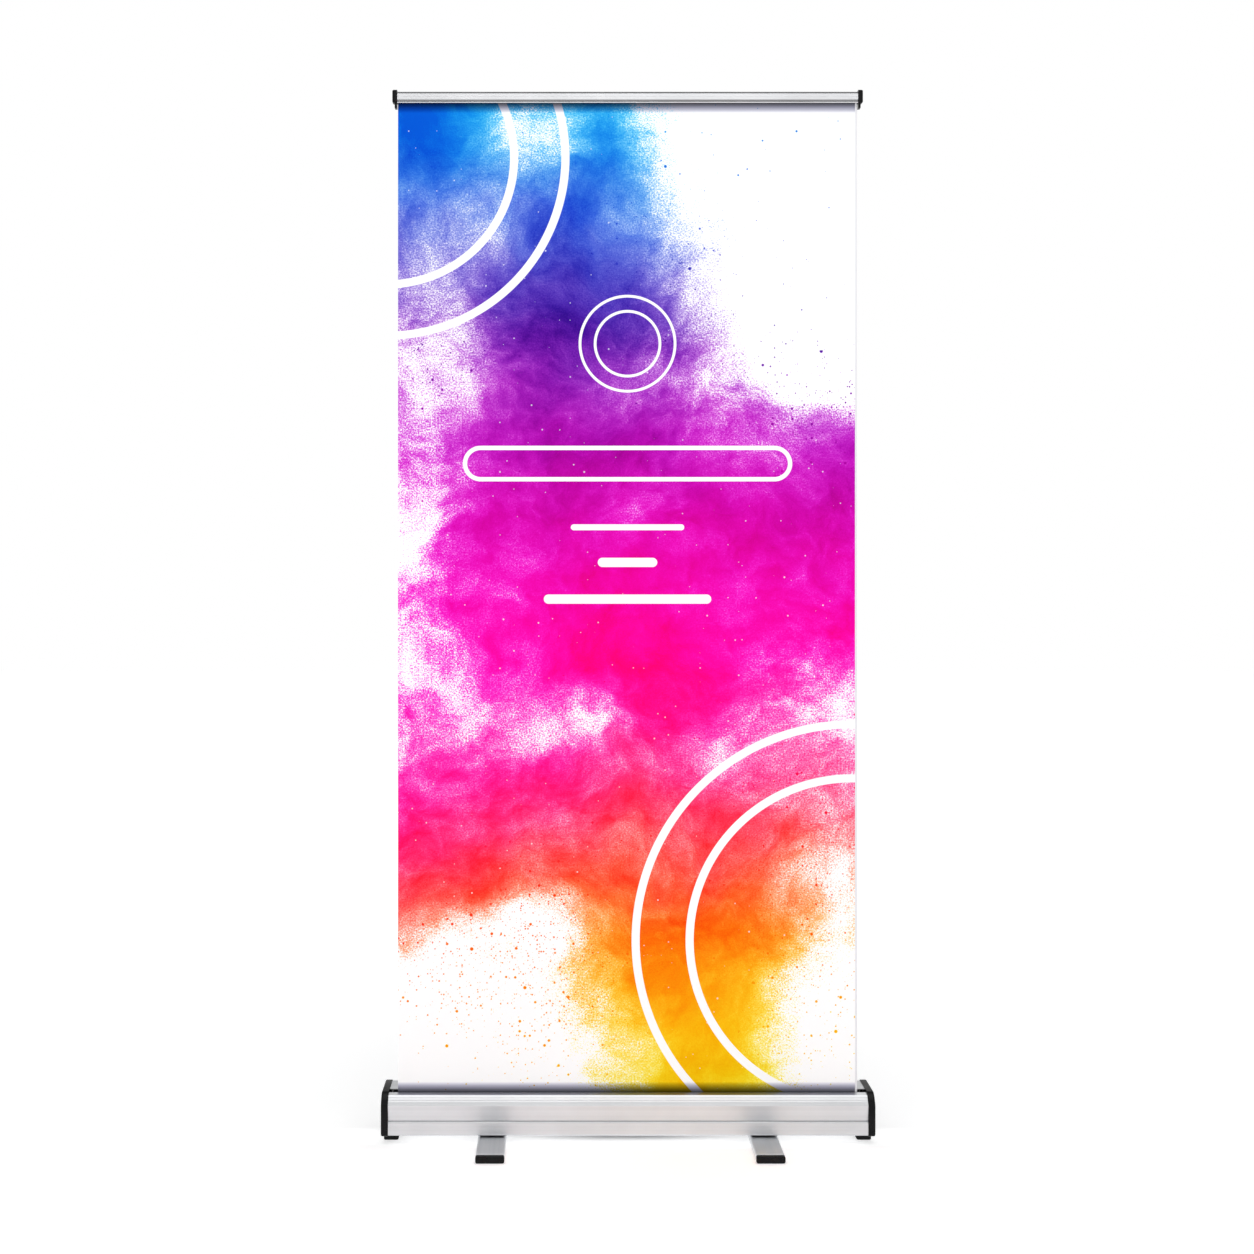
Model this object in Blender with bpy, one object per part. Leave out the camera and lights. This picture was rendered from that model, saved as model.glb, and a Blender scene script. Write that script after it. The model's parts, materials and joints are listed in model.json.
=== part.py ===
"""A roll-up banner stand: cassette with a spring roller, two swivelling feet,
a banner, a clamp rail and a telescopic pole.

Metres. +Z is up, +X is to the right as one faces the print, and the print
faces -Y. The origin is on the floor, midway between the two foot pivots.
"""

import math

import bmesh
import bpy
from mathutils import Matrix

# ---------------------------------------------------------------- driving sizes
GAP = 0.0003                    # between two pieces that rest on each other

# Overall.
BANNER_WIDTH = 0.850
RAIL_TOP_Z = 1.9400
BANNER_Y = -0.0190              # plane that the banner hangs in

# Banner.
BANNER_THICKNESS = 0.0005
BANNER_MARGIN = 0.008           # how far the banner's top edge stays below the rail's top

# Cassette housing: a shell extruded along X.
HOUSING_MARGIN = 0.0160         # past the banner at each end
HOUSING_REACH = 0.0275          # from the banner forwards to the crease
HOUSING_HEIGHT = 0.0758
HOUSING_WALL = 0.0015
SLOT_AHEAD = 0.0040             # from the banner to the slot's front lip
SLOT_BEHIND = 0.0080            # from the banner to the slot's rear lip
FRONT_LIP_DROP = 0.0022         # front lip below the housing's top
REAR_LIP_RISE = 0.0005
LIP_DEPTH = 0.0070
LIP_DROP = 0.0022
CREASE_DROP = 0.0200            # crease below the housing's top
GROOVE_HEIGHT = 0.0278          # groove above the housing's base
GROOVE_INSET = 0.0039           # groove behind the crease
SKIRT_INSET = 0.0008            # lower front behind the crease
BASE_CORNER = 0.0045
REAR_CORNER = 0.0070
RIB_PITCH = 0.0040
RIB_WIDTH = 0.0016
RIB_DEPTH = 0.0005
RIB_COUNT = 6

# End cap screws, and the screw ports inside the housing that they fit.
CAP_SCREW_RADIUS = 0.00155
CAP_SCREW_LENGTH = 0.020
CAP_SCREW_HEAD_RADIUS = 0.0034
CAP_SCREW_HEAD_HEIGHT = 0.0022
PORT_PLAY = 0.00035             # bore past the screw
PORT_WALL = 0.0015
PORT_MOUTH = 0.0009             # half the width of the port's opening
PORT_SINK = 0.0008              # how far the port is sunk in its wall

# End caps and floor pads.
CAP_THICKNESS = 0.0130
CAP_OVERHANG = 0.0010           # past the housing's outline
CAP_ROUNDING = 0.0030
CAP_BOSS_RADIUS = 0.0090
CAP_BOSS_LENGTH = 0.0060
LEDGE_LENGTH = 0.0200
LEDGE_INSET = 0.0035            # from the housing's front and back
LEDGE_THICKNESS = 0.0028
PAD_WIDTH = 0.0270
PAD_DEPTH = 0.0420
PAD_OUTER_INSET = 0.0030        # pad's outer face, inside the end cap's outer face

# Feet.
FOOT_SPACING = 0.500            # between the two pivots
FOOT_WIDTH = 0.0520
FOOT_LENGTH = 0.2840
FOOT_TOP_Z = 0.0134
FOOT_BOTTOM_Z = 0.0006
FOOT_WALL = 0.0020
FOOT_CORNER = 0.0040
FOOT_CAP_LENGTH = 0.0080
FOOT_CAP_TONGUE = 0.0120
BOLT_RADIUS = 0.0040
BOLT_HEAD_RADIUS = 0.0080
BOLT_HEAD_HEIGHT = 0.0045
BOLT_CLEARANCE = 0.0005
WASHER_RADIUS = 0.0120
WASHER_THICKNESS = 0.0012
NUT_ACROSS_CORNERS = 0.0150
NUT_HEIGHT = 0.0060
BOLT_STANDOUT = 0.0010          # bolt past its nut

# Roller and its spring.
ROLLER_RADIUS = 0.0180
ROLLER_WALL = 0.0010
ROLLER_MARGIN = 0.0050          # past the banner at each end
ROLLER_HEIGHT = 0.0368          # axis above the housing's base
ROLL_LAYER = 0.0005             # the turn of banner left on the roller
ARBOR_RADIUS = 0.0040
ARBOR_LENGTH = 0.4000
ARBOR_SEAT = 0.0060             # how deep it sits in the end cap
PLUG_LENGTH = 0.0200
PLUG_FLANGE = 0.0020
IDLE_PIN_RADIUS = 0.0040
RUNNING_GAP = 0.0004
SPRING_RADIUS = 0.0090
SPRING_WIRE = 0.0010            # radius of the wire
SPRING_PITCH = 0.0160
SPRING_TURNS = 20

# Telescopic pole.
POLE_RADIUS = 0.0080            # of the lower tube
POLE_WALL = 0.0010
TUBE_PLAY = 0.0005              # between one tube and the next
POLE_BEHIND_ROLL = 0.00635      # from the roll of banner to the pole
POLE_REAR_ROOM = 0.0130         # from the pole's axis to the housing's back
POLE_FOOT_HEIGHT = 0.0048       # above the housing's base
POLE_TIP_DROP = 0.0185          # tip below the rail's top
POLE_OVERLAP = 0.0750
POLE_FOOT_ROOM = 0.0100
COLLAR_WALL = 0.0030
COLLAR_HEIGHT = 0.0180
COLLAR_LIP = 0.0040
COLLAR_PARTING = 0.0020         # between two collars when the pole is down
PLUG_HEIGHT = 0.0150
TIP_HEIGHT = 0.0120
TIP_LIP = 0.0008                # tip past the top tube
SOCKET_FRONT = 0.0115           # from the pole's axis forwards
SOCKET_HEIGHT = 0.0208
SOCKET_SCREW_RADIUS = 0.0015
SOCKET_SCREW_LENGTH = 0.0120
SOCKET_SCREW_SIDE = 0.0080      # from the pole to the screw's axis
SOCKET_EDGE = 0.0060            # from the screw's axis to the socket's side
GROMMET_WALL = 0.0015
GROMMET_FLANGE = 0.0020

# Clamp rail.
RAIL_MARGIN = 0.0010            # past the banner at each end
RAIL_HEIGHT = 0.0210
RAIL_WALL = 0.0015
RAIL_BEHIND = 0.0080            # from the banner to the back profile's rear face
RAIL_AHEAD = 0.0054             # from the banner to the jaw's front face
RAIL_FACE_GAP = 0.00035         # between the banner and the back profile
HINGE_BEHIND = 0.0022
BEAD_RADIUS = 0.0017
KNUCKLE_GAP = 0.00035
KNUCKLE_WALL = 0.00115
NECK = 0.0014
JAW_CHAMFER_HEIGHT = 0.0032
JAW_CHAMFER_DEPTH = 0.0016
JAW_WALL = 0.0018
JAW_LIP_AHEAD = 0.0020          # from the banner to the jaw's lip
GRIP_HEIGHT = 0.0016
JAW_LINE = 0.0003               # depth of the fine line along the jaw's face
RAIL_CAP_THICKNESS = 0.0089
RAIL_CAP_TAB = 0.0046
RAIL_CAP_TAB_DROP = 0.0100
RAIL_CAP_OVERHANG = 0.0012
RAIL_CAP_RISE = 0.0030
RAIL_CAP_SPIGOT = 0.0080

# Rail hanger.
HANGER_WIDTH = 0.0400
HANGER_ARM_WIDTH = 0.0140
HANGER_PLATE = 0.0040
HANGER_ARM_HEIGHT = 0.0100
HANGER_CUP_WALL = 0.0040
HANGER_CUP_DEPTH = 0.0180
HANGER_ROOF = 0.0130
HANGER_SCREW_X = 0.0140
HANGER_SCREW_RADIUS = 0.0014
HANGER_SCREW_HEAD = 0.0028
HANGER_SCREW_LENGTH = 0.0075

SIDES = 24                      # around a tube
SMALL_SIDES = 12                # around a screw or pin

# ---------------------------------------------------------------- derived places
BANNER_BACK_Y = BANNER_Y + BANNER_THICKNESS / 2
ROLL_INNER = ROLLER_RADIUS + GAP
ROLL_OUTER = ROLL_INNER + ROLL_LAYER
ROLLER_LENGTH = BANNER_WIDTH + 2 * ROLLER_MARGIN
ROLLER_Y = BANNER_BACK_Y + GAP + ROLL_OUTER
TUBE_STEP = POLE_WALL + TUBE_PLAY
POLE_RADII = (POLE_RADIUS, POLE_RADIUS - TUBE_STEP, POLE_RADIUS - 2 * TUBE_STEP)
POLE_Y = ROLLER_Y + ROLL_OUTER + POLE_BEHIND_ROLL + POLE_RADIUS
TIP_RADIUS = POLE_RADII[2] + TIP_LIP

HOUSING_LENGTH = BANNER_WIDTH + 2 * HOUSING_MARGIN
HOUSING_FRONT_Y = BANNER_Y - HOUSING_REACH
HOUSING_REAR_Y = POLE_Y + POLE_REAR_ROOM
MIDDLE_Y = (HOUSING_FRONT_Y + HOUSING_REAR_Y) / 2
HOUSING_BASE_Z = FOOT_TOP_Z + GAP + WASHER_THICKNESS + GAP
HOUSING_TOP_Z = HOUSING_BASE_Z + HOUSING_HEIGHT
SLOT_FRONT_Y = BANNER_Y - SLOT_AHEAD
SLOT_REAR_Y = BANNER_Y + SLOT_BEHIND
FRONT_LIP_Z = HOUSING_TOP_Z - FRONT_LIP_DROP
CREASE_Z = HOUSING_TOP_Z - CREASE_DROP
GROOVE_Z = HOUSING_BASE_Z + GROOVE_HEIGHT
ROLLER_Z = HOUSING_BASE_Z + ROLLER_HEIGHT
PORT_BORE = CAP_SCREW_RADIUS + PORT_PLAY
PORT_RADIUS = PORT_BORE + PORT_WALL
PORT_STANDOFF = PORT_RADIUS - PORT_SINK
CAP_INNER_X = HOUSING_LENGTH / 2 + GAP
CAP_OUTER_X = CAP_INNER_X + CAP_THICKNESS
LEDGE_TOP_Z = HOUSING_BASE_Z - GAP
LEDGE_BASE_Z = LEDGE_TOP_Z - LEDGE_THICKNESS

POLE_FOOT_Z = HOUSING_BASE_Z + POLE_FOOT_HEIGHT
POLE_TIP_Z = RAIL_TOP_Z - POLE_TIP_DROP
COLLAR_STEP = COLLAR_LIP + COLLAR_HEIGHT + COLLAR_PARTING
POLE_TRAVEL = (POLE_TIP_Z - TIP_HEIGHT - POLE_FOOT_Z - POLE_OVERLAP - POLE_FOOT_ROOM
               - 2 * COLLAR_STEP) / 3
LOWER_TOP_Z = POLE_FOOT_Z + POLE_FOOT_ROOM + POLE_TRAVEL + POLE_OVERLAP
MIDDLE_TOP_Z = LOWER_TOP_Z + POLE_TRAVEL + COLLAR_STEP
TOP_TOP_Z = MIDDLE_TOP_Z + POLE_TRAVEL + COLLAR_STEP
SOCKET_FRONT_Y = POLE_Y - SOCKET_FRONT
SOCKET_REAR_Y = HOUSING_REAR_Y - HOUSING_WALL - GAP
SOCKET_MIDDLE_Y = (SOCKET_FRONT_Y + SOCKET_REAR_Y) / 2
SOCKET_TOP_Z = HOUSING_BASE_Z + SOCKET_HEIGHT
SOCKET_SCREW_X = POLE_RADIUS + SOCKET_SCREW_SIDE
SOCKET_WIDTH = 2 * (SOCKET_SCREW_X + SOCKET_EDGE)

RAIL_LENGTH = BANNER_WIDTH + 2 * RAIL_MARGIN
RAIL_BACK_Y = BANNER_Y + RAIL_BEHIND
RAIL_FRONT_Y = BANNER_Y - RAIL_AHEAD
HINGE_Y = BANNER_Y + HINGE_BEHIND
JAW_LIP_Y = BANNER_Y - JAW_LIP_AHEAD
KNUCKLE_BORE = BEAD_RADIUS + KNUCKLE_GAP
KNUCKLE_RADIUS = KNUCKLE_BORE + KNUCKLE_WALL
HINGE_Z = RAIL_TOP_Z - KNUCKLE_RADIUS
RAIL_BASE_Z = RAIL_TOP_Z - RAIL_HEIGHT
RAIL_FACE_Y = BANNER_BACK_Y + RAIL_FACE_GAP
BANNER_TOP_Z = RAIL_TOP_Z - BANNER_MARGIN


# ---------------------------------------------------------------- materials
def material(name, colour, roughness, metallic=0.0):
    """A plain Principled material in linear colour."""
    made = bpy.data.materials.new(name)
    made.use_nodes = True
    shader = made.node_tree.nodes["Principled BSDF"]
    shader.inputs["Base Color"].default_value = (*colour, 1.0)
    shader.inputs["Roughness"].default_value = roughness
    shader.inputs["Metallic"].default_value = metallic
    return made


# ---------------------------------------------------------------- plane geometry
def arc(centre, radius, start, end, steps):
    """Points of an arc, angles in degrees, both ends included."""
    points = []
    for i in range(steps + 1):
        angle = math.radians(start + (end - start) * i / steps)
        points.append((centre[0] + radius * math.cos(angle),
                       centre[1] + radius * math.sin(angle)))
    return points


def bow(start, control, end, steps):
    """Points of a quadratic curve from start to end, the start left out."""
    points = []
    for i in range(1, steps + 1):
        t = i / steps
        a, b, c = (1 - t) ** 2, 2 * t * (1 - t), t * t
        points.append(tuple(a * s + b * m + c * e for s, m, e in zip(start, control, end)))
    return points


def rounded_box(left, right, low, high, low_radius, high_radius, steps=4):
    """A rectangle with round corners, anticlockwise from its lower right corner."""
    return (arc((right - low_radius, low + low_radius), low_radius, -90, 0, steps)
            + arc((right - high_radius, high - high_radius), high_radius, 0, 90, steps)
            + arc((left + high_radius, high - high_radius), high_radius, 90, 180, steps)
            + arc((left + low_radius, low + low_radius), low_radius, 180, 270, steps))


def side_step(before, here, after, distance):
    """The mitred point that lies a distance to the left of a corner."""
    def left_of(a, b):
        length = math.hypot(b[0] - a[0], b[1] - a[1])
        return ((a[1] - b[1]) / length, (b[0] - a[0]) / length)

    n = left_of(before, here) if before else left_of(here, after)
    m = left_of(here, after) if after else n
    share = distance / max(1 + n[0] * m[0] + n[1] * m[1], 0.2)
    return (here[0] + (n[0] + m[0]) * share, here[1] + (n[1] + m[1]) * share)


def offset_path(points, distance):
    """An open path, moved a distance to its left."""
    ends = [None] + list(points) + [None]
    return [side_step(ends[i], ends[i + 1], ends[i + 2], distance)
            for i in range(len(points))]


def offset_loop(points, distance):
    """A closed outline, moved a distance to its left."""
    n = len(points)
    return [side_step(points[i - 1], points[i], points[(i + 1) % n], distance) for i in range(n)]


# ---------------------------------------------------------------- solids
def along_x(s, a, b):
    return (s, a, b)


def along_y(s, a, b):
    return (a, s, b)


def along_z(s, a, b):
    return (a, b, s)


def finish_mesh(name, bm, look, smooth=False):
    """Closes up a bmesh, turns its faces outwards and makes it an object."""
    bmesh.ops.remove_doubles(bm, verts=bm.verts, dist=1e-7)
    bmesh.ops.recalc_face_normals(bm, faces=bm.faces)
    mesh = bpy.data.meshes.new(name)
    bm.to_mesh(mesh)
    bm.free()
    if smooth:
        mesh.shade_smooth()
        mesh.set_sharp_from_angle(angle=math.radians(35))
    made = bpy.data.objects.new(name, mesh)
    bpy.context.scene.collection.objects.link(made)
    if look:
        mesh.materials.append(look)
    return made


def lofted(name, sections, place, look=None, smooth=False):
    """A solid through outlines of one point count, each at its place on an axis."""
    bm = bmesh.new()
    rings = []
    for s, outline in sections:
        rings.append([bm.verts.new(place(s, a, b)) for a, b in outline])
    bm.faces.new(rings[0])
    bm.faces.new(rings[-1])
    for lower, upper in zip(rings, rings[1:]):
        for i in range(len(lower)):
            bm.faces.new((lower[i - 1], lower[i], upper[i], upper[i - 1]))
    return finish_mesh(name, bm, look, smooth)


def extruded(name, outline, start, end, place, look=None, smooth=False):
    """A straight extrusion of an outline."""
    bm = bmesh.new()
    face = bm.faces.new([bm.verts.new(place(start, a, b)) for a, b in outline])
    moved = bmesh.ops.extrude_face_region(bm, geom=[face])["geom"]
    shift = place(end - start, 0.0, 0.0)
    bmesh.ops.translate(bm, vec=shift,
                        verts=[v for v in moved if isinstance(v, bmesh.types.BMVert)])
    return finish_mesh(name, bm, look, smooth)


def turned(name, profile, centre, place, look=None, sides=SIDES):
    """A closed profile of (radius, place on the axis), spun about that axis."""
    bm = bmesh.new()
    across, up = centre
    verts = [bm.verts.new(place(s, across + r, up)) for r, s in profile]
    edges = [bm.edges.new((verts[i - 1], verts[i])) for i in range(len(verts))
             if profile[i - 1][0] > 0 or profile[i][0] > 0]
    bmesh.ops.spin(bm, geom=verts + edges, cent=place(0.0, across, up), axis=place(1.0, 0.0, 0.0),
                   angle=math.tau, steps=sides, use_merge=True)
    return finish_mesh(name, bm, look, smooth=True)


def rod(name, radius, start, end, centre, place, look=None, sides=SMALL_SIDES):
    """A round rod with flat ends."""
    return turned(name, [(0, start), (radius, start), (radius, end), (0, end)],
                  centre, place, look, sides)


def ring(name, inner, outer, start, end, centre, place, look=None, sides=SIDES):
    """A plain ring or tube."""
    return turned(name, [(inner, start), (outer, start), (outer, end), (inner, end)],
                  centre, place, look, sides)


def headed(name, shank, length, head, height, tip, out, centre, place, look, sides=SMALL_SIDES):
    """A screw: its head stands on the tip side away from its shank, towards out."""
    seat = tip + out * length
    profile = [(0, tip), (shank, tip), (shank, seat), (head, seat),
               (head, seat + out * height * 0.6), (head * 0.7, seat + out * height),
               (0, seat + out * height)]
    return turned(name, profile, centre, place, look, sides)


def combine(target, tool, operation):
    """A Boolean of a target with a hidden tool."""
    tool.hide_render = True
    tool.display_type = "WIRE"
    change = target.modifiers.new(f"{operation.lower()}_{tool.name}", "BOOLEAN")
    change.operation = operation
    change.solver = "EXACT"
    change.object = tool


def hang(pieces, pivot):
    """Parents pieces to an empty on their joint's axis, where they are."""
    for piece in pieces:
        piece.parent = pivot
        piece.matrix_parent_inverse = Matrix.Translation(pivot.location).inverted()


def pivot_at(name, place, parent=None):
    """An empty on a joint's axis."""
    pivot = bpy.data.objects.new(name, None)
    bpy.context.scene.collection.objects.link(pivot)
    pivot.location = place
    if parent:
        pivot.parent = parent
        pivot.matrix_parent_inverse = Matrix.Translation(parent.location).inverted()
    return pivot


# ---------------------------------------------------------------- cassette
def housing_outline(ribs):
    """The housing's outer outline, open at the slot, from the front lip round the
    front, the base and the back to the rear lip."""
    front, rear = HOUSING_FRONT_Y, HOUSING_REAR_Y
    lip = (SLOT_FRONT_Y, FRONT_LIP_Z)
    brow = (SLOT_FRONT_Y - LIP_DEPTH, FRONT_LIP_Z - LIP_DROP)
    crease = (front, CREASE_Z)
    shoulder = (front + 0.3 * (brow[0] - front), CREASE_Z + 0.75 * (brow[1] - CREASE_Z))
    groove = (front + GROOVE_INSET, GROOVE_Z)
    skirt = front + SKIRT_INSET
    points = [lip, brow] + bow(brow, shoulder, crease, 4)
    points += [groove, (groove[0] + 0.0010, GROOVE_Z - 0.0008),
               (skirt + 0.0010, GROOVE_Z - 0.0018)]
    points += bow(points[-1], (skirt, GROOVE_Z - 0.0022), (skirt, GROOVE_Z - 0.0070), 2)
    points += arc((skirt + BASE_CORNER, HOUSING_BASE_Z + BASE_CORNER), BASE_CORNER, 180, 270, 4)
    points += arc((rear - BASE_CORNER, HOUSING_BASE_Z + BASE_CORNER), BASE_CORNER, 270, 360, 4)
    points += arc((rear - REAR_CORNER, HOUSING_TOP_Z - REAR_CORNER), REAR_CORNER, 0, 90, 5)
    if ribs:
        first = SLOT_REAR_Y + RIB_PITCH * RIB_COUNT
        for i in range(RIB_COUNT):
            y = first - RIB_PITCH * i
            points += [(y + RIB_WIDTH / 2, HOUSING_TOP_Z), (y, HOUSING_TOP_Z - RIB_DEPTH),
                       (y - RIB_WIDTH / 2, HOUSING_TOP_Z)]
    points.append((SLOT_REAR_Y + 0.0020, HOUSING_TOP_Z))
    points.append((SLOT_REAR_Y, HOUSING_TOP_Z + REAR_LIP_RISE))
    return points


def port_outline(start, end, share):
    """A screw port on the wall from start to end, whose inside is to the left,
    and the centre of its bore."""
    length = math.hypot(end[0] - start[0], end[1] - start[1])
    u = ((end[0] - start[0]) / length, (end[1] - start[1]) / length)
    n = (-u[1], u[0])
    centre = (start[0] + (end[0] - start[0]) * share + n[0] * PORT_STANDOFF,
              start[1] + (end[1] - start[1]) * share + n[1] * PORT_STANDOFF)
    root = math.degrees(math.asin(PORT_STANDOFF / PORT_RADIUS))
    mouth_out = math.degrees(math.asin(PORT_MOUTH / PORT_RADIUS))
    mouth_in = math.degrees(math.asin(PORT_MOUTH / PORT_BORE))
    shape = (arc((0, 0), PORT_RADIUS, 180 + root, 90 + mouth_out, 5)
             + arc((0, 0), PORT_BORE, 90 + mouth_in, 450 - mouth_in, 8)
             + arc((0, 0), PORT_RADIUS, 90 - mouth_out, -root, 5))
    points = [(centre[0] + a * u[0] + b * n[0], centre[1] + a * u[1] + b * n[1])
              for a, b in shape]
    return points, centre


def housing_profile():
    """The housing's whole section, and the centres of its three screw ports."""
    plain = housing_outline(ribs=False)
    inner = offset_path(plain, HOUSING_WALL)
    walls = [
        (plain.index((HOUSING_FRONT_Y, CREASE_Z)), 0.45),
        (longest_run(plain, 1), 0.30),
        (longest_run(plain, 2), 0.42),
    ]
    ports, centres = {}, []
    for index, share in walls:
        points, centre = port_outline(inner[index], inner[index + 1], share)
        ports[index] = points
        centres.append(centre)
    lining = []
    for i, point in enumerate(inner):
        lining.append(point)
        lining += ports.get(i, [])
    return housing_outline(ribs=True) + lining[::-1], centres


def longest_run(points, which):
    """Where the base (1) or the back (2) starts in the outline: its longest level
    or upright run after the front."""
    best, start = 0.0, 0
    for i in range(len(points) - 1):
        step = (points[i + 1][0] - points[i][0], points[i + 1][1] - points[i][1])
        run = step[0] if which == 1 else step[1]
        if run > best:
            best, start = run, i
    return start


def make_cassette(looks, section):
    """The housing with its holes for the pole, its socket screws and the feet."""
    half = HOUSING_LENGTH / 2
    housing = extruded("cassette_housing", section, -half, half, along_x, looks["aluminium"])
    hole = POLE_RADIUS + GAP + GROMMET_WALL + GAP
    cuts = [rod("cut_pole", hole, SOCKET_TOP_Z, HOUSING_TOP_Z + 0.01, (0, POLE_Y), along_z,
                None, SIDES)]
    for side in (-1, 1):
        cuts.append(rod(f"cut_bolt_{side}", BOLT_RADIUS + BOLT_CLEARANCE, HOUSING_BASE_Z - 0.005,
                        HOUSING_BASE_Z + 0.005, (side * FOOT_SPACING / 2, MIDDLE_Y), along_z,
                        None, SIDES))
        cuts.append(rod(f"cut_socket_{side}", SOCKET_SCREW_RADIUS + GAP, HOUSING_BASE_Z - 0.005,
                        HOUSING_BASE_Z + 0.005, (side * SOCKET_SCREW_X, SOCKET_MIDDLE_Y), along_z))
    for tool in cuts:
        combine(housing, tool, "DIFFERENCE")


def make_end_caps(looks, port_centres):
    """Each end cap: a rounded plate with a bearing boss inside and a ledge below."""
    outline = offset_loop(housing_outline(ribs=False), -CAP_OVERHANG)
    steps = 3
    for side, word in ((-1, "left"), (1, "right")):
        inner, outer = side * CAP_INNER_X, side * CAP_OUTER_X
        sections = [(inner, outline)]
        for i in range(steps + 1):
            angle = math.radians(90 * i / steps)
            reach = CAP_ROUNDING * math.sin(angle)
            shrink = CAP_ROUNDING * (1 - math.cos(angle))
            sections.append((outer - side * (CAP_ROUNDING - reach), offset_loop(outline, shrink)))
        cap = lofted(f"end_cap_{word}", sections, along_x, looks["plastic"])
        root = inner + side * 0.002
        boss_end = inner - side * CAP_BOSS_LENGTH
        combine(cap, rod(f"boss_{word}", CAP_BOSS_RADIUS, root, boss_end, (ROLLER_Y, ROLLER_Z),
                         along_x, None, SIDES), "UNION")
        ledge = rounded_box(HOUSING_FRONT_Y + LEDGE_INSET, HOUSING_REAR_Y - LEDGE_INSET,
                            LEDGE_BASE_Z, LEDGE_TOP_Z, LEDGE_THICKNESS / 4, LEDGE_THICKNESS / 4, 2)
        combine(cap, extruded(f"ledge_{word}", ledge, root, inner - side * LEDGE_LENGTH, along_x),
                "UNION")
        seat = outer - side * (CAP_ROUNDING + CAP_SCREW_HEAD_HEIGHT)
        for i, centre in enumerate(port_centres, 1):
            sink = turned(f"sink_{word}_{i}",
                          [(0, inner - side * 0.001),
                           (CAP_SCREW_RADIUS + GAP, inner - side * 0.001),
                           (CAP_SCREW_RADIUS + GAP, seat), (CAP_SCREW_HEAD_RADIUS + GAP, seat),
                           (CAP_SCREW_HEAD_RADIUS + GAP, outer + side * 0.001),
                           (0, outer + side * 0.001)],
                          centre, along_x, None, SMALL_SIDES)
            combine(cap, sink, "DIFFERENCE")
            tip = seat + side * GAP - side * CAP_SCREW_LENGTH
            headed(f"end_cap_screw_{word}_{i}", CAP_SCREW_RADIUS, CAP_SCREW_LENGTH,
                   CAP_SCREW_HEAD_RADIUS, CAP_SCREW_HEAD_HEIGHT, tip, side, centre, along_x,
                   looks["steel"])
        bore = (ARBOR_RADIUS if side < 0 else IDLE_PIN_RADIUS) + GAP
        combine(cap, rod(f"bore_{word}", bore, boss_end - side * 0.001,
                         inner + side * (ARBOR_SEAT + GAP), (ROLLER_Y, ROLLER_Z), along_x, None,
                         SIDES), "DIFFERENCE")
        pad_outer = outer - side * PAD_OUTER_INSET
        low, high = sorted((pad_outer, pad_outer - side * PAD_WIDTH))
        extruded(f"floor_pad_{word}",
                 rounded_box(low, high, MIDDLE_Y - PAD_DEPTH / 2, MIDDLE_Y + PAD_DEPTH / 2,
                             0.004, 0.004),
                 0.0, LEDGE_BASE_Z - GAP, along_z, looks["rubber"])


# ---------------------------------------------------------------- feet
def foot_section(inset=0.0):
    """A foot bar's section: a shallow channel, open below."""
    half = FOOT_WIDTH / 2 - inset
    top = FOOT_TOP_Z - inset
    inner = half - FOOT_WALL
    roof = top - FOOT_WALL
    return ([(inner, FOOT_BOTTOM_Z)]
            + [(half - 0.0010, FOOT_BOTTOM_Z), (half, FOOT_BOTTOM_Z + 0.0020)]
            + arc((half - FOOT_CORNER, top - FOOT_CORNER), FOOT_CORNER, 0, 90, 4)
            + arc((-half + FOOT_CORNER, top - FOOT_CORNER), FOOT_CORNER, 90, 180, 4)
            + [(-half, FOOT_BOTTOM_Z + 0.0020), (-half + 0.0010, FOOT_BOTTOM_Z)]
            + [(-inner, FOOT_BOTTOM_Z)]
            + arc((-inner + 0.0020, roof - 0.0020), 0.0020, 180, 90, 3)
            + arc((inner - 0.0020, roof - 0.0020), 0.0020, 90, 0, 3))


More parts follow.
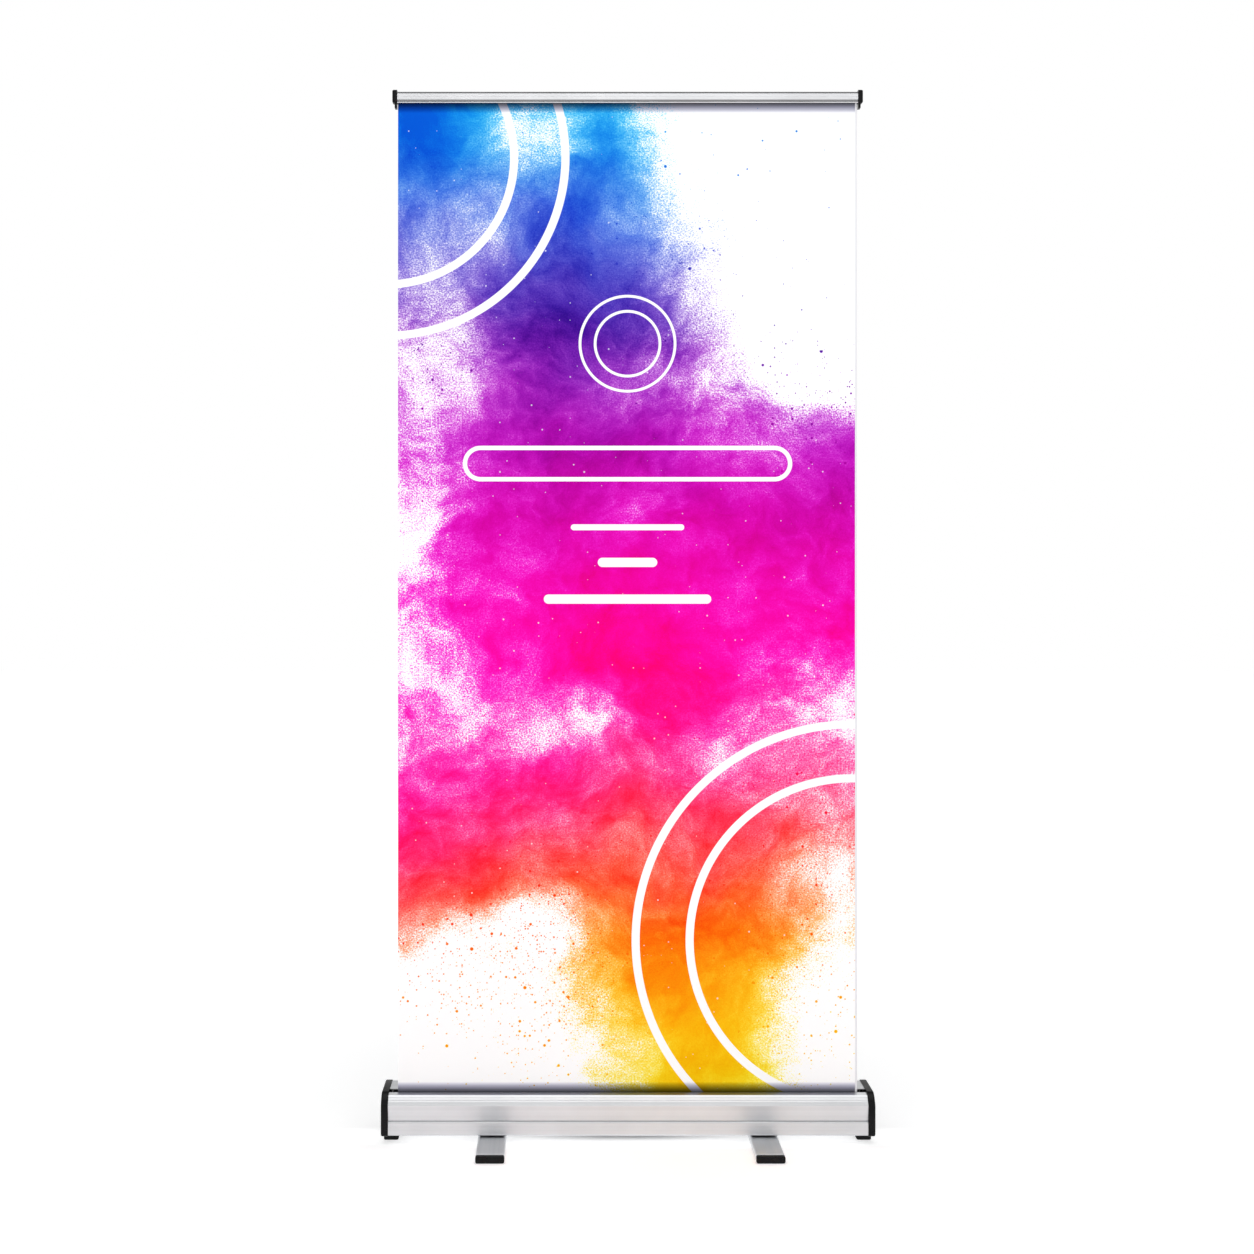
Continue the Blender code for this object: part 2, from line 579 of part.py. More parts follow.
def make_foot(word, x, looks):
    """A foot bar with a cap in each end, and the bolt, washer and nut it turns on."""
    def shifted(outline):
        return [(x + a, b) for a, b in outline]

    bar_end = FOOT_LENGTH / 2 - FOOT_CAP_LENGTH - GAP
    bar = extruded(f"foot_{word}_bar", shifted(foot_section()), MIDDLE_Y - bar_end,
                   MIDDLE_Y + bar_end, along_y, looks["aluminium"])
    roof = FOOT_TOP_Z - FOOT_WALL
    combine(bar, rod(f"cut_pivot_{word}", BOLT_RADIUS + BOLT_CLEARANCE, roof - 0.002,
                     FOOT_TOP_Z + 0.002, (x, MIDDLE_Y), along_z, None, SIDES), "DIFFERENCE")
    pieces = [bar]
    half = FOOT_WIDTH / 2
    plate = rounded_box(-half, half, 0.0, FOOT_TOP_Z, 0.0035, FOOT_CORNER, 4)
    tongue_half = half - FOOT_WALL - GAP
    tongue = rounded_box(-tongue_half, tongue_half, 0.0015, roof - GAP, 0.0010, 0.0024, 3)
    for side, end in ((-1, "front"), (1, "rear")):
        tip = MIDDLE_Y + side * FOOT_LENGTH / 2
        inner = tip - side * FOOT_CAP_LENGTH
        sections = [(inner, shifted(plate)), (tip - side * 0.0015, shifted(plate)),
                    (tip - side * 0.0004, shifted(offset_loop(plate, 0.0005))),
                    (tip, shifted(offset_loop(plate, 0.0014)))]
        cap = lofted(f"foot_{word}_cap_{end}", sections, along_y, looks["plastic"])
        tool = extruded(f"tongue_{word}_{end}", shifted(tongue), inner + side * 0.002,
                        inner - side * FOOT_CAP_TONGUE, along_y)
        combine(cap, tool, "UNION")
        pieces.append(cap)
    hang(pieces, pivot_at(f"foot_{word}_pivot", (x, MIDDLE_Y, 0)))

    head_top = roof - GAP
    nut_base = HOUSING_BASE_Z + HOUSING_WALL + GAP
    bolt_end = nut_base + NUT_HEIGHT + BOLT_STANDOUT
    head_base = head_top - BOLT_HEAD_HEIGHT
    axis = (x, MIDDLE_Y)
    turned(f"foot_pivot_bolt_{word}",
           [(0, head_base), (BOLT_HEAD_RADIUS - 0.001, head_base),
            (BOLT_HEAD_RADIUS, head_base + 0.001), (BOLT_HEAD_RADIUS, head_top),
            (BOLT_RADIUS, head_top), (BOLT_RADIUS, bolt_end), (0, bolt_end)],
           axis, along_z, looks["steel"])
    ring(f"foot_pivot_washer_{word}", BOLT_RADIUS + BOLT_CLEARANCE, WASHER_RADIUS,
         FOOT_TOP_Z + GAP, HOUSING_BASE_Z - GAP, axis, along_z, looks["plastic"])
    hexagon_bore = (BOLT_RADIUS + GAP) / math.cos(math.pi / 6)
    ring(f"foot_pivot_nut_{word}", hexagon_bore, NUT_ACROSS_CORNERS / 2,
         nut_base, nut_base + NUT_HEIGHT, axis, along_z, looks["steel"], 6)


# ---------------------------------------------------------------- roller
def make_roller(looks):
    """The roller tube on its arbor and idle pin, with its spring and a turn of banner."""
    centre = (ROLLER_Y, ROLLER_Z)
    end = ROLLER_LENGTH / 2
    bore = ROLLER_RADIUS - ROLLER_WALL
    arbor_start = -CAP_INNER_X - ARBOR_SEAT
    arbor_end = arbor_start + ARBOR_LENGTH
    rod("spring_arbor", ARBOR_RADIUS, arbor_start, arbor_end, centre, along_x, looks["steel"],
        SIDES)
    tube = ring("roller_tube", bore, ROLLER_RADIUS, -end, end, centre, along_x, looks["aluminium"])
    roll_half = BANNER_WIDTH / 2
    roll = ring("banner_roll", ROLL_INNER, ROLL_OUTER, -roll_half, roll_half, centre, along_x,
                looks["print"], 2 * SIDES)
    plug_radius = bore - GAP
    flange = ROLLER_RADIUS - 0.0005
    shaft_bore = ARBOR_RADIUS + RUNNING_GAP
    left = turned("roller_plug_left",
                  [(shaft_bore, -end - GAP - PLUG_FLANGE), (flange, -end - GAP - PLUG_FLANGE),
                   (flange, -end - GAP), (plug_radius, -end - GAP),
                   (plug_radius, -end + PLUG_LENGTH), (shaft_bore, -end + PLUG_LENGTH)],
                  centre, along_x, looks["plastic"])
    pin_seat = IDLE_PIN_RADIUS + GAP
    right = turned("roller_plug_right",
                   [(pin_seat, end + GAP + PLUG_FLANGE), (flange, end + GAP + PLUG_FLANGE),
                    (flange, end + GAP), (plug_radius, end + GAP),
                    (plug_radius, end - PLUG_LENGTH), (pin_seat, end - PLUG_LENGTH)],
                   centre, along_x, looks["plastic"])
    pin = rod("roller_idle_pin", IDLE_PIN_RADIUS, end - PLUG_LENGTH, CAP_INNER_X + ARBOR_SEAT,
              centre, along_x, looks["steel"], SIDES)
    spring_plug = ring("spring_plug", shaft_bore, plug_radius, arbor_end - PLUG_LENGTH, arbor_end,
                       centre, along_x, looks["plastic"])
    hang([tube, roll, left, right, pin, spring_plug], pivot_at("roller_pivot", (0, *centre)))

    spring_end = arbor_end - PLUG_LENGTH - GAP - SPRING_WIRE
    steps = 8
    curve = bpy.data.curves.new("torsion_spring", "CURVE")
    curve.dimensions = "3D"
    curve.bevel_depth = SPRING_WIRE
    curve.bevel_resolution = 0
    curve.use_fill_caps = True
    line = curve.splines.new("POLY")
    count = SPRING_TURNS * steps + 1
    line.points.add(count - 1)
    for i, point in enumerate(line.points):
        angle = math.tau * i / steps
        x = spring_end - SPRING_PITCH * i / steps
        point.co = (x, ROLLER_Y + SPRING_RADIUS * math.cos(angle),
                    ROLLER_Z + SPRING_RADIUS * math.sin(angle), 1.0)
    spring = bpy.data.objects.new("torsion_spring", curve)
    bpy.context.scene.collection.objects.link(spring)
    curve.materials.append(looks["steel"])
    anchor_start = spring_end - SPRING_PITCH * SPRING_TURNS - SPRING_WIRE - GAP
    ring("spring_anchor", ARBOR_RADIUS + GAP, SPRING_RADIUS + SPRING_WIRE,
         anchor_start - PLUG_LENGTH / 2, anchor_start, centre, along_x, looks["steel"])


# ---------------------------------------------------------------- pole
def make_pole(looks):
    """The pole's socket and grommet, and three tubes that slide in each other."""
    axis = (0, POLE_Y)
    floor = HOUSING_BASE_Z + HOUSING_WALL + GAP
    shelf = HOUSING_BASE_Z + BASE_CORNER
    block = rounded_box(-SOCKET_WIDTH / 2, SOCKET_WIDTH / 2, SOCKET_FRONT_Y, SOCKET_REAR_Y,
                        0.003, 0.0005)
    socket = extruded("pole_socket", block, shelf, SOCKET_TOP_Z, along_z, looks["plastic"])
    foot = rounded_box(-SOCKET_WIDTH / 2 + 0.001, SOCKET_WIDTH / 2 - 0.001, SOCKET_FRONT_Y + 0.001,
                       SOCKET_REAR_Y - BASE_CORNER, 0.002, 0.0005)
    combine(socket, extruded("socket_foot", foot, floor, shelf + 0.001, along_z), "UNION")
    combine(socket, rod("cut_socket", POLE_RADIUS + GAP, POLE_FOOT_Z - GAP, SOCKET_TOP_Z + 0.001,
                        axis, along_z, None, SIDES), "DIFFERENCE")
    for side in (-1, 1):
        place = (side * SOCKET_SCREW_X, SOCKET_MIDDLE_Y)
        combine(socket, rod(f"cut_thread_{side}", SOCKET_SCREW_RADIUS + GAP, floor - 0.001,
                            HOUSING_BASE_Z + SOCKET_SCREW_LENGTH, place, along_z), "DIFFERENCE")
        word = "left" if side < 0 else "right"
        headed(f"pole_socket_screw_{word}", SOCKET_SCREW_RADIUS, SOCKET_SCREW_LENGTH - 2 * GAP,
               2 * SOCKET_SCREW_RADIUS, 0.0018, HOUSING_BASE_Z + SOCKET_SCREW_LENGTH - 3 * GAP,
               -1, place, along_z, looks["steel"])

    bore = POLE_RADIUS + GAP
    neck = bore + GROMMET_WALL
    brim = neck + GROMMET_FLANGE
    under, over = HOUSING_TOP_Z - HOUSING_WALL - GAP, HOUSING_TOP_Z + GAP
    turned("pole_grommet",
           [(bore, under - 0.0012), (neck, under - 0.0012), (neck, over), (brim, over),
            (brim, over + 0.0010), (brim - 0.0008, over + 0.0018), (bore, over + 0.0018)],
           axis, along_z, looks["plastic"])

    bottoms = (POLE_FOOT_Z, LOWER_TOP_Z - POLE_OVERLAP, MIDDLE_TOP_Z - POLE_OVERLAP)
    tops = (LOWER_TOP_Z, MIDDLE_TOP_Z, TOP_TOP_Z)
    middle = pivot_at("pole_middle_slide", (0, POLE_Y, LOWER_TOP_Z))
    top = pivot_at("pole_top_slide", (0, POLE_Y, MIDDLE_TOP_Z), middle)
    for word, i, pivot in (("lower", 0, None), ("middle", 1, middle), ("top", 2, top)):
        radius = POLE_RADII[i]
        pieces = [ring(f"pole_{word}_tube", radius - POLE_WALL, radius, bottoms[i], tops[i],
                       axis, along_z, looks["aluminium"])]
        if i < 2:
            inside, outside = radius + GAP, radius + GAP + COLLAR_WALL
            throat = POLE_RADII[i + 1] + RUNNING_GAP
            ledge = tops[i] + GAP
            under, over = tops[i] - COLLAR_HEIGHT, tops[i] + COLLAR_LIP
            pieces.append(turned(f"pole_{word}_collar",
                                 [(inside, under), (outside - 0.001, under),
                                  (outside, under + 0.001), (outside, ledge + 0.0015),
                                  (outside - 0.0015, over), (throat, over), (throat, ledge),
                                  (inside, ledge)], axis, along_z, looks["plastic"]))
        if i > 0:
            snug = POLE_RADII[i - 1] - POLE_WALL - RUNNING_GAP
            core = radius - POLE_WALL - GAP
            start = bottoms[i] - GAP
            pieces.append(turned(f"pole_{word}_plug",
                                 [(0, start - 0.003), (snug, start - 0.003), (snug, start),
                                  (core, start), (core, bottoms[i] + PLUG_HEIGHT),
                                  (0, bottoms[i] + PLUG_HEIGHT)],
                                 axis, along_z, looks["plastic"]))
        if i == 2:
            core = radius - POLE_WALL - GAP
            seat = tops[i] + GAP
            pieces.append(turned("pole_tip",
                                 [(0, tops[i] - PLUG_HEIGHT), (core, tops[i] - PLUG_HEIGHT),
                                  (core, seat), (TIP_RADIUS, seat),
                                  (TIP_RADIUS, POLE_TIP_Z - 0.002),
                                  (TIP_RADIUS - 0.002, POLE_TIP_Z), (0, POLE_TIP_Z)],
                                 axis, along_z, looks["plastic"]))
        if pivot:
            hang(pieces, pivot)


# ---------------------------------------------------------------- clamp rail
def rail_back_section():
    """The back profile: a channel open below, with the hinge knuckle on its top."""
    web_low = HINGE_Z - KNUCKLE_RADIUS - RAIL_WALL
    web_high = HINGE_Z - KNUCKLE_RADIUS + 0.0005
    rear = RAIL_BACK_Y
    lean = math.degrees(math.acos((HINGE_Y - RAIL_FACE_Y) / KNUCKLE_RADIUS))
    outer_start = 180 + lean
    hinge = (HINGE_Y, HINGE_Z)
    open_from, open_to = 95, 205
    return ([(RAIL_FACE_Y, RAIL_BASE_Z)]
            + arc(hinge, KNUCKLE_RADIUS, outer_start, open_to, 2)
            + arc(hinge, KNUCKLE_BORE, open_to, 360 + open_from, 12)
            + arc(hinge, KNUCKLE_RADIUS, open_from, 0, 6)
            + [(HINGE_Y + KNUCKLE_RADIUS, web_high), (rear, web_high), (rear, RAIL_BASE_Z),
               (rear - RAIL_WALL, RAIL_BASE_Z), (rear - RAIL_WALL, web_low),
               (RAIL_FACE_Y + RAIL_WALL, web_low), (RAIL_FACE_Y + RAIL_WALL, RAIL_BASE_Z)])


def jaw_section():
    """The jaw: a bead in the knuckle, a neck, and a front plate with a lip below."""
    neck = NECK / 2
    turn = math.degrees(math.asin(neck / BEAD_RADIUS))
    inside = RAIL_FRONT_Y + JAW_WALL
    rim = RAIL_FRONT_Y + JAW_CHAMFER_DEPTH
    low, high = RAIL_BASE_Z, RAIL_TOP_Z - 0.0002
    face_low, face_high = low + JAW_CHAMFER_HEIGHT, high - JAW_CHAMFER_HEIGHT
    line = (face_low + face_high) / 2
    lip_top = low + GRIP_HEIGHT + 0.0004
    crown = HINGE_Y - KNUCKLE_RADIUS - 0.0012
    return (arc((HINGE_Y, HINGE_Z), BEAD_RADIUS, 180 - turn, -180 + turn, 12)
            + [(inside, HINGE_Z - neck), (inside, lip_top), (JAW_LIP_Y, lip_top), (JAW_LIP_Y, low),
               (rim, low), (RAIL_FRONT_Y, face_low),
               (RAIL_FRONT_Y, line - 0.0004), (RAIL_FRONT_Y + JAW_LINE, line),
               (RAIL_FRONT_Y, line + 0.0004), (RAIL_FRONT_Y, face_high), (rim, high),
               (crown - 0.0004, high), (crown, high - 0.0006),
               (crown, HINGE_Z + neck)])


def make_rail(looks):
    """The clamp rail with its jaw, grip, end caps and hanger."""
    half = RAIL_LENGTH / 2
    back = extruded("rail_back", rail_back_section(), -half, half, along_x, looks["aluminium"])
    pieces = [back]
    jaw = extruded("rail_jaw", jaw_section(), -half, half, along_x, looks["aluminium"])
    grip_front = JAW_LIP_Y + GAP
    grip_back = BANNER_Y - BANNER_THICKNESS / 2 - GAP
    grip = extruded("rail_grip_strip",
                    [(grip_front, RAIL_BASE_Z + 0.0003), (grip_back, RAIL_BASE_Z + 0.0003),
                     (grip_back, RAIL_BASE_Z + GRIP_HEIGHT),
                     (grip_front, RAIL_BASE_Z + GRIP_HEIGHT)],
                    -BANNER_WIDTH / 2, BANNER_WIDTH / 2, along_x, looks["rubber"])

    cap_front, cap_rear = RAIL_FRONT_Y - RAIL_CAP_OVERHANG, RAIL_BACK_Y + RAIL_CAP_OVERHANG
    cap_top = RAIL_TOP_Z + RAIL_CAP_RISE
    radius = 0.0025
    body = rounded_box(cap_front, cap_rear, RAIL_BASE_Z - 0.0002, cap_top, radius, radius)
    tab = rounded_box(cap_front + 0.001, cap_rear - 0.001, RAIL_BASE_Z - RAIL_CAP_TAB_DROP,
                      RAIL_BASE_Z + 0.004, radius, radius)
    channel = (RAIL_FACE_Y + RAIL_WALL + GAP, RAIL_BACK_Y - RAIL_WALL - GAP)
    web_low = HINGE_Z - KNUCKLE_RADIUS - RAIL_WALL
    for side, word in ((-1, "left"), (1, "right")):
        inner = side * (half + GAP)
        outer = side * (half + GAP + RAIL_CAP_THICKNESS)
        sections = [(inner, body), (outer - side * 0.003, body),
                    (outer - side * 0.0012, offset_loop(body, 0.0006)),
                    (outer, offset_loop(body, 0.0020))]
        cap = lofted(f"rail_cap_{word}", sections, along_x, looks["plastic"])
        combine(cap, extruded(f"tab_{word}", tab, inner, inner + side * RAIL_CAP_TAB, along_x),
                "UNION")
        spigot = rounded_box(channel[0], channel[1], RAIL_BASE_Z + 0.001, web_low - GAP,
                             0.0005, 0.0005, 2)
        combine(cap, extruded(f"spigot_{word}", spigot, inner + side * 0.002,
                              inner - side * RAIL_CAP_SPIGOT, along_x), "UNION")
        pieces.append(cap)

    plate_front = RAIL_BACK_Y + GAP
    plate_rear = plate_front + HANGER_PLATE
    cup_bore = TIP_RADIUS + GAP
    cup_radius = cup_bore + HANGER_CUP_WALL
    roof_low = POLE_TIP_Z + GAP
    roof_high = roof_low + HANGER_ROOF
    plate_low, plate_high = RAIL_BASE_Z + 0.0005, HINGE_Z - KNUCKLE_RADIUS
    hanger = turned("rail_hanger",
                    [(0, roof_low), (cup_bore, roof_low), (cup_bore, POLE_TIP_Z - HANGER_CUP_DEPTH),
                     (cup_radius, POLE_TIP_Z - HANGER_CUP_DEPTH), (cup_radius, roof_high - 0.002),
                     (cup_radius - 0.002, roof_high), (0, roof_high)],
                    (0, POLE_Y), along_z, looks["plastic"])
    arm = rounded_box(-HANGER_ARM_WIDTH / 2, HANGER_ARM_WIDTH / 2, plate_high - HANGER_ARM_HEIGHT,
                      plate_high - 0.0005, 0.0015, 0.0015, 3)
    combine(hanger, extruded("hanger_arm", arm, plate_front + 0.001, POLE_Y - cup_bore - 0.001,
                             along_y), "UNION")
    plate = rounded_box(-HANGER_WIDTH / 2, HANGER_WIDTH / 2, plate_low, plate_high, 0.003, 0.003)
    combine(hanger, extruded("hanger_plate", plate, plate_front, plate_rear, along_y), "UNION")
    pieces.append(hanger)
    screw_z = (plate_low + plate_high) / 2
    for side, word in ((-1, "left"), (1, "right")):
        place = (side * HANGER_SCREW_X, screw_z)
        bore = rod(f"cut_hanger_{word}", HANGER_SCREW_RADIUS + GAP,
                   RAIL_BACK_Y - RAIL_WALL - 0.001, plate_rear + 0.001, place, along_y)
        combine(hanger, bore, "DIFFERENCE")
        combine(back, bore, "DIFFERENCE")
        tip = plate_rear + GAP - HANGER_SCREW_LENGTH
        pieces.append(headed(f"rail_hanger_screw_{word}", HANGER_SCREW_RADIUS,
                             HANGER_SCREW_LENGTH, HANGER_SCREW_HEAD, 0.0018, tip, 1, place,
                             along_y, looks["steel"]))

    slide = pivot_at("rail_slide", (0, BANNER_Y, RAIL_BASE_Z))
    hang(pieces, slide)
    hang([jaw, grip], pivot_at("rail_jaw_pivot", (0, HINGE_Y, HINGE_Z), slide))


def make_banner(looks):
    """The banner, from the roller up through the slot to the clamp rail."""
    half = BANNER_WIDTH / 2
    front = BANNER_Y - BANNER_THICKNESS / 2
    outline = [(front, ROLLER_Z), (BANNER_BACK_Y, ROLLER_Z), (BANNER_BACK_Y, BANNER_TOP_Z),
               (front, BANNER_TOP_Z)]
    extruded("banner_sheet", outline, -half, half, along_x, looks["print"])


def main():
    for old in list(bpy.data.objects):
        bpy.data.objects.remove(old, do_unlink=True)
    looks = {
        "aluminium": material("anodised_aluminium", (0.62, 0.62, 0.63), 0.32, 1.0),
        "plastic": material("black_abs", (0.012, 0.012, 0.013), 0.42),
        "rubber": material("black_rubber", (0.02, 0.02, 0.02), 0.75),
        "steel": material("zinc_plated_steel", (0.55, 0.55, 0.56), 0.35, 1.0),
        "print": material("printed_film", (0.75, 0.05, 0.40), 0.45),
    }
    section, port_centres = housing_profile()
    make_cassette(looks, section)
    make_end_caps(looks, port_centres)
    for word, side in (("left", -1), ("right", 1)):
        make_foot(word, side * FOOT_SPACING / 2, looks)
    make_roller(looks)
    make_pole(looks)
    make_rail(looks)
    make_banner(looks)


main()
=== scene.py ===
"""Looks of a roll-up banner stand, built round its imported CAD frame.

Metres, in the frame of the CAD: +Z is up, the print faces -Y, the floor is z = 0.
Every new piece is a surface worked out with numpy: an outline carried along an
axis, a profile turned round one, or a dome on a grid of radius and angle.
"""

import json
import math

import bmesh
import bpy
import numpy as np
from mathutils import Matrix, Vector


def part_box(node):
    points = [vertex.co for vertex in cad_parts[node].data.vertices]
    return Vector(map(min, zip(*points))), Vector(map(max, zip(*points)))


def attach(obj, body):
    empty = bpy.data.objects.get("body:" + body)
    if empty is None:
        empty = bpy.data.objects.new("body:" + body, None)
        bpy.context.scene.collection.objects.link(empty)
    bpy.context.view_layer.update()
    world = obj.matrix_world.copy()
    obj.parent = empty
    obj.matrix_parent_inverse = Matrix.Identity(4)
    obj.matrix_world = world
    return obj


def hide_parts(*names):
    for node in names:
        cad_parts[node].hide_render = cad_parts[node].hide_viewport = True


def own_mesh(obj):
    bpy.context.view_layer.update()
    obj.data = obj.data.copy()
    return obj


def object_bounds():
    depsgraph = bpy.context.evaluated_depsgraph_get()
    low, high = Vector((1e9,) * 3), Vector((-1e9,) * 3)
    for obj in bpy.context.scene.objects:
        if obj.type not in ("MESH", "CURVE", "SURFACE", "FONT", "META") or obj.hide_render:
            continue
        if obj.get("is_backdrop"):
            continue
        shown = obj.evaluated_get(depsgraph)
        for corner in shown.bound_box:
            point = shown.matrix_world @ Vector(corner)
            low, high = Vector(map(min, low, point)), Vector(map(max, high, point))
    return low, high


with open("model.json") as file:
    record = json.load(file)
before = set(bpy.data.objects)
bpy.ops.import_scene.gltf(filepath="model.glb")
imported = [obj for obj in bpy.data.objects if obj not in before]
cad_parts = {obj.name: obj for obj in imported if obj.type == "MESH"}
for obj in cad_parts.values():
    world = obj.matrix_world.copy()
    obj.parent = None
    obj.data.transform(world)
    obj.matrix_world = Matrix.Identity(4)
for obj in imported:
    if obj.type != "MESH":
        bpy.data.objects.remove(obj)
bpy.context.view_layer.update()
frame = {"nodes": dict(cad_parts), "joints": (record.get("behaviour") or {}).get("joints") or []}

MM = 0.001
X, Y, Z = 0, 1, 2               # axes that an outline is carried along

# ---------------------------------------------------------------- view, light and floor
scene = bpy.context.scene
scene.view_settings.view_transform = "Standard"

camera_data = bpy.data.cameras.new("camera")
camera_data.lens = 46.5
camera_data.sensor_width = 36.0
camera_data.shift_x = 0.0534
camera_data.shift_y = -0.0455
camera = bpy.data.objects.new("camera", camera_data)
camera.location = (-0.125, -3.019, 1.055)
camera.rotation_euler = (math.radians(90), 0, 0)
scene.collection.objects.link(camera)
scene.camera = camera


def linear(hexadecimal):
    """An sRGB hex colour such as "#ff8800" as linear RGBA."""
    channels = [int(hexadecimal[i:i + 2], 16) / 255 for i in (1, 3, 5)]
    return tuple(c / 12.92 if c <= 0.04045 else ((c + 0.055) / 1.055) ** 2.4
                 for c in channels) + (1.0,)


def add(tree, kind, inputs=(), out=0, stops=None, **settings):
    """Adds a node and returns one of its outputs. inputs holds values or outputs to
    link, in socket order or by socket, and None leaves a socket as it is; stops are
    a colour ramp's (place, hex or grey)."""
    made = tree.nodes.new("ShaderNode" + kind)
    for key, value in settings.items():
        setattr(made, key, value)
    for key, value in inputs.items() if isinstance(inputs, dict) else enumerate(inputs):
        if isinstance(value, bpy.types.NodeSocket):
            tree.links.new(value, made.inputs[key])
        elif value is not None:
            made.inputs[key].default_value = value
    if stops:
        points = made.color_ramp.elements
        while len(points) < len(stops):
            points.new(1.0)
        for point, (place, shade) in zip(points, stops):
            point.position = place
            point.color = linear(shade) if isinstance(shade, str) else (shade,) * 3 + (1.0,)
    return made.outputs[out]


def light(name, place, aim, size, power):
    """A rectangular soft light at a place, turned to its aim."""
    data = bpy.data.lights.new(name, "AREA")
    data.shape = "RECTANGLE"
    data.size, data.size_y = size
    data.energy = power
    lamp = bpy.data.objects.new(name, data)
    lamp.location = place
    lamp.rotation_euler = (Vector(aim) - Vector(place)).to_track_quat("-Z", "Y").to_euler()
    scene.collection.objects.link(lamp)


# A white studio: plain white behind the stand, and for the light on it a ramp from the
# floor's bounce at the bottom over the bright walls to the dimmer ceiling.
world = bpy.data.worlds.new("white_studio")
world.use_nodes = True
scene.world = world
sky = world.node_tree
height = add(sky, "SeparateXYZ", [add(sky, "TexCoord", out="Generated")], out="Z")
sky_tone = add(sky, "ValToRGB", [add(sky, "MapRange", [height, -1.0, 1.0])],
               stops=[(0.0, 0.60), (0.40, 0.68), (0.52, 0.73), (0.70, 0.62), (0.86, 0.50),
                      (1.0, 0.40)])
plain = add(sky, "Background", [(1.0, 1.0, 1.0, 1.0), 1.0])
graded = add(sky, "Background", [sky_tone, 1.0])
mixed = add(sky, "MixShader", [add(sky, "LightPath", out="Is Camera Ray"), graded, plain])
sky.links.new(mixed, sky.nodes["World Output"].inputs["Surface"])

light("front_bank", (0.14, -3.7, 2.95), (0.0, 0.0, 1.9), (2.6, 0.6), 10)
light("overhead_bank", (0.0, -1.9, 6.0), (0.0, -1.9, 0.0), (7.0, 4.4), 130)
light("left_strip", (-2.6, -2.4, 1.6), (-0.4, 0.0, 0.4), (0.5, 1.4), 5)
light("right_strip", (2.6, -2.2, 1.6), (0.4, 0.0, 0.4), (0.5, 1.4), 5)
light("back_bank", (0.4, 3.2, 2.4), (0.0, 0.0, 0.9), (2.4, 1.4), 8)


# ---------------------------------------------------------------- outlines
def arc(centre, radius, start, end, steps=8):
    """Points centre + radius (cos a, sin a), with a from start to end in degrees."""
    a = np.radians(np.linspace(start, end, steps + 1))
    return np.column_stack((centre[0] + radius * np.cos(a), centre[1] + radius * np.sin(a)))


def bow(start, control, end, steps=12):
    """The quadratic curve (1-t)^2 start + 2t(1-t) control + t^2 end."""
    t = np.linspace(0, 1, steps + 1)[:, None]
    start, control, end = (np.array(p, float) for p in (start, control, end))
    return (1 - t) ** 2 * start + 2 * t * (1 - t) * control + t ** 2 * end


def box(left, right, low, high, radius, upper=None, steps=6):
    """A rectangle with round corners, anticlockwise from its lower right one; upper is
    the radius of its two upper corners where it differs."""
    upper = radius if upper is None else upper
    return np.vstack((
        arc((right - radius, low + radius), radius, -90, 0, steps),
        arc((right - upper, high - upper), upper, 0, 90, steps),
        arc((left + upper, high - upper), upper, 90, 180, steps),
        arc((left + radius, low + radius), radius, 180, 270, steps)))


def notched(start, end, shares, width, depth):
    """A straight run with V-shaped notches of a width and depth, centred at shares of
    its length and cut into its left side."""
    start, end = np.array(start, float), np.array(end, float)
    length = np.linalg.norm(end - start)
    along = (end - start) / length
    left = np.array((-along[1], along[0]))
    across = np.array((-width / 2, 0.0, width / 2))
    places = (np.array(shares)[:, None] * length + across).ravel()
    sunk = np.tile((0.0, depth, 0.0), len(shares))
    middle = start + places[:, None] * along + sunk[:, None] * left
    return np.vstack((start, middle, end))


def offset(points, distance, closed=True):
    """An outline moved to its left: each corner goes along the mean of its two edges'
    normals by distance / (1 + their dot product)."""
    if closed:
        before, after = np.roll(points, 1, 0), np.roll(points, -1, 0)
    else:
        before = np.vstack((2 * points[0] - points[1], points[:-1]))
        after = np.vstack((points[1:], 2 * points[-1] - points[-2]))
    normals = []
    for step in (points - before, after - points):
        step = step / np.linalg.norm(step, axis=1)[:, None]
        normals.append(np.column_stack((-step[:, 1], step[:, 0])))
    n, m = normals
    share = distance / np.maximum(1 + (n * m).sum(1), 0.2)
    return points + (n + m) * share[:, None]


# ---------------------------------------------------------------- surfaces
def placed(s, a, b, axis):
    """Points with s along an axis and a, b along the other two, in the order x, y, z."""
    return np.stack({X: (s, a, b), Y: (a, s, b), Z: (a, b, s)}[axis], -1)


def lattice(rows, columns):
    """Quads of a grid of points that closes on itself along its columns."""
    i, j = np.meshgrid(np.arange(rows - 1), np.arange(columns), indexing="ij")
    k = (j + 1) % columns
    near, far = i * columns, (i + 1) * columns
    return np.stack((near + j, near + k, far + k, far + j), -1).reshape(-1, 4).tolist()


def carried(outline, stations, axis):
    """An outline carried along an axis. Each station is (place, inset), and the first
    and last are closed with a flat face."""
    rings = []
    for place, inset in stations:
        ring = offset(outline, inset) if inset else outline
        rings.append(placed(np.full(len(ring), place), ring[:, 0], ring[:, 1], axis))
    n = len(outline)
    ends = [list(range(n)), list(range((len(rings) - 1) * n, len(rings) * n))]
    return np.vstack(rings), lattice(len(rings), n) + ends


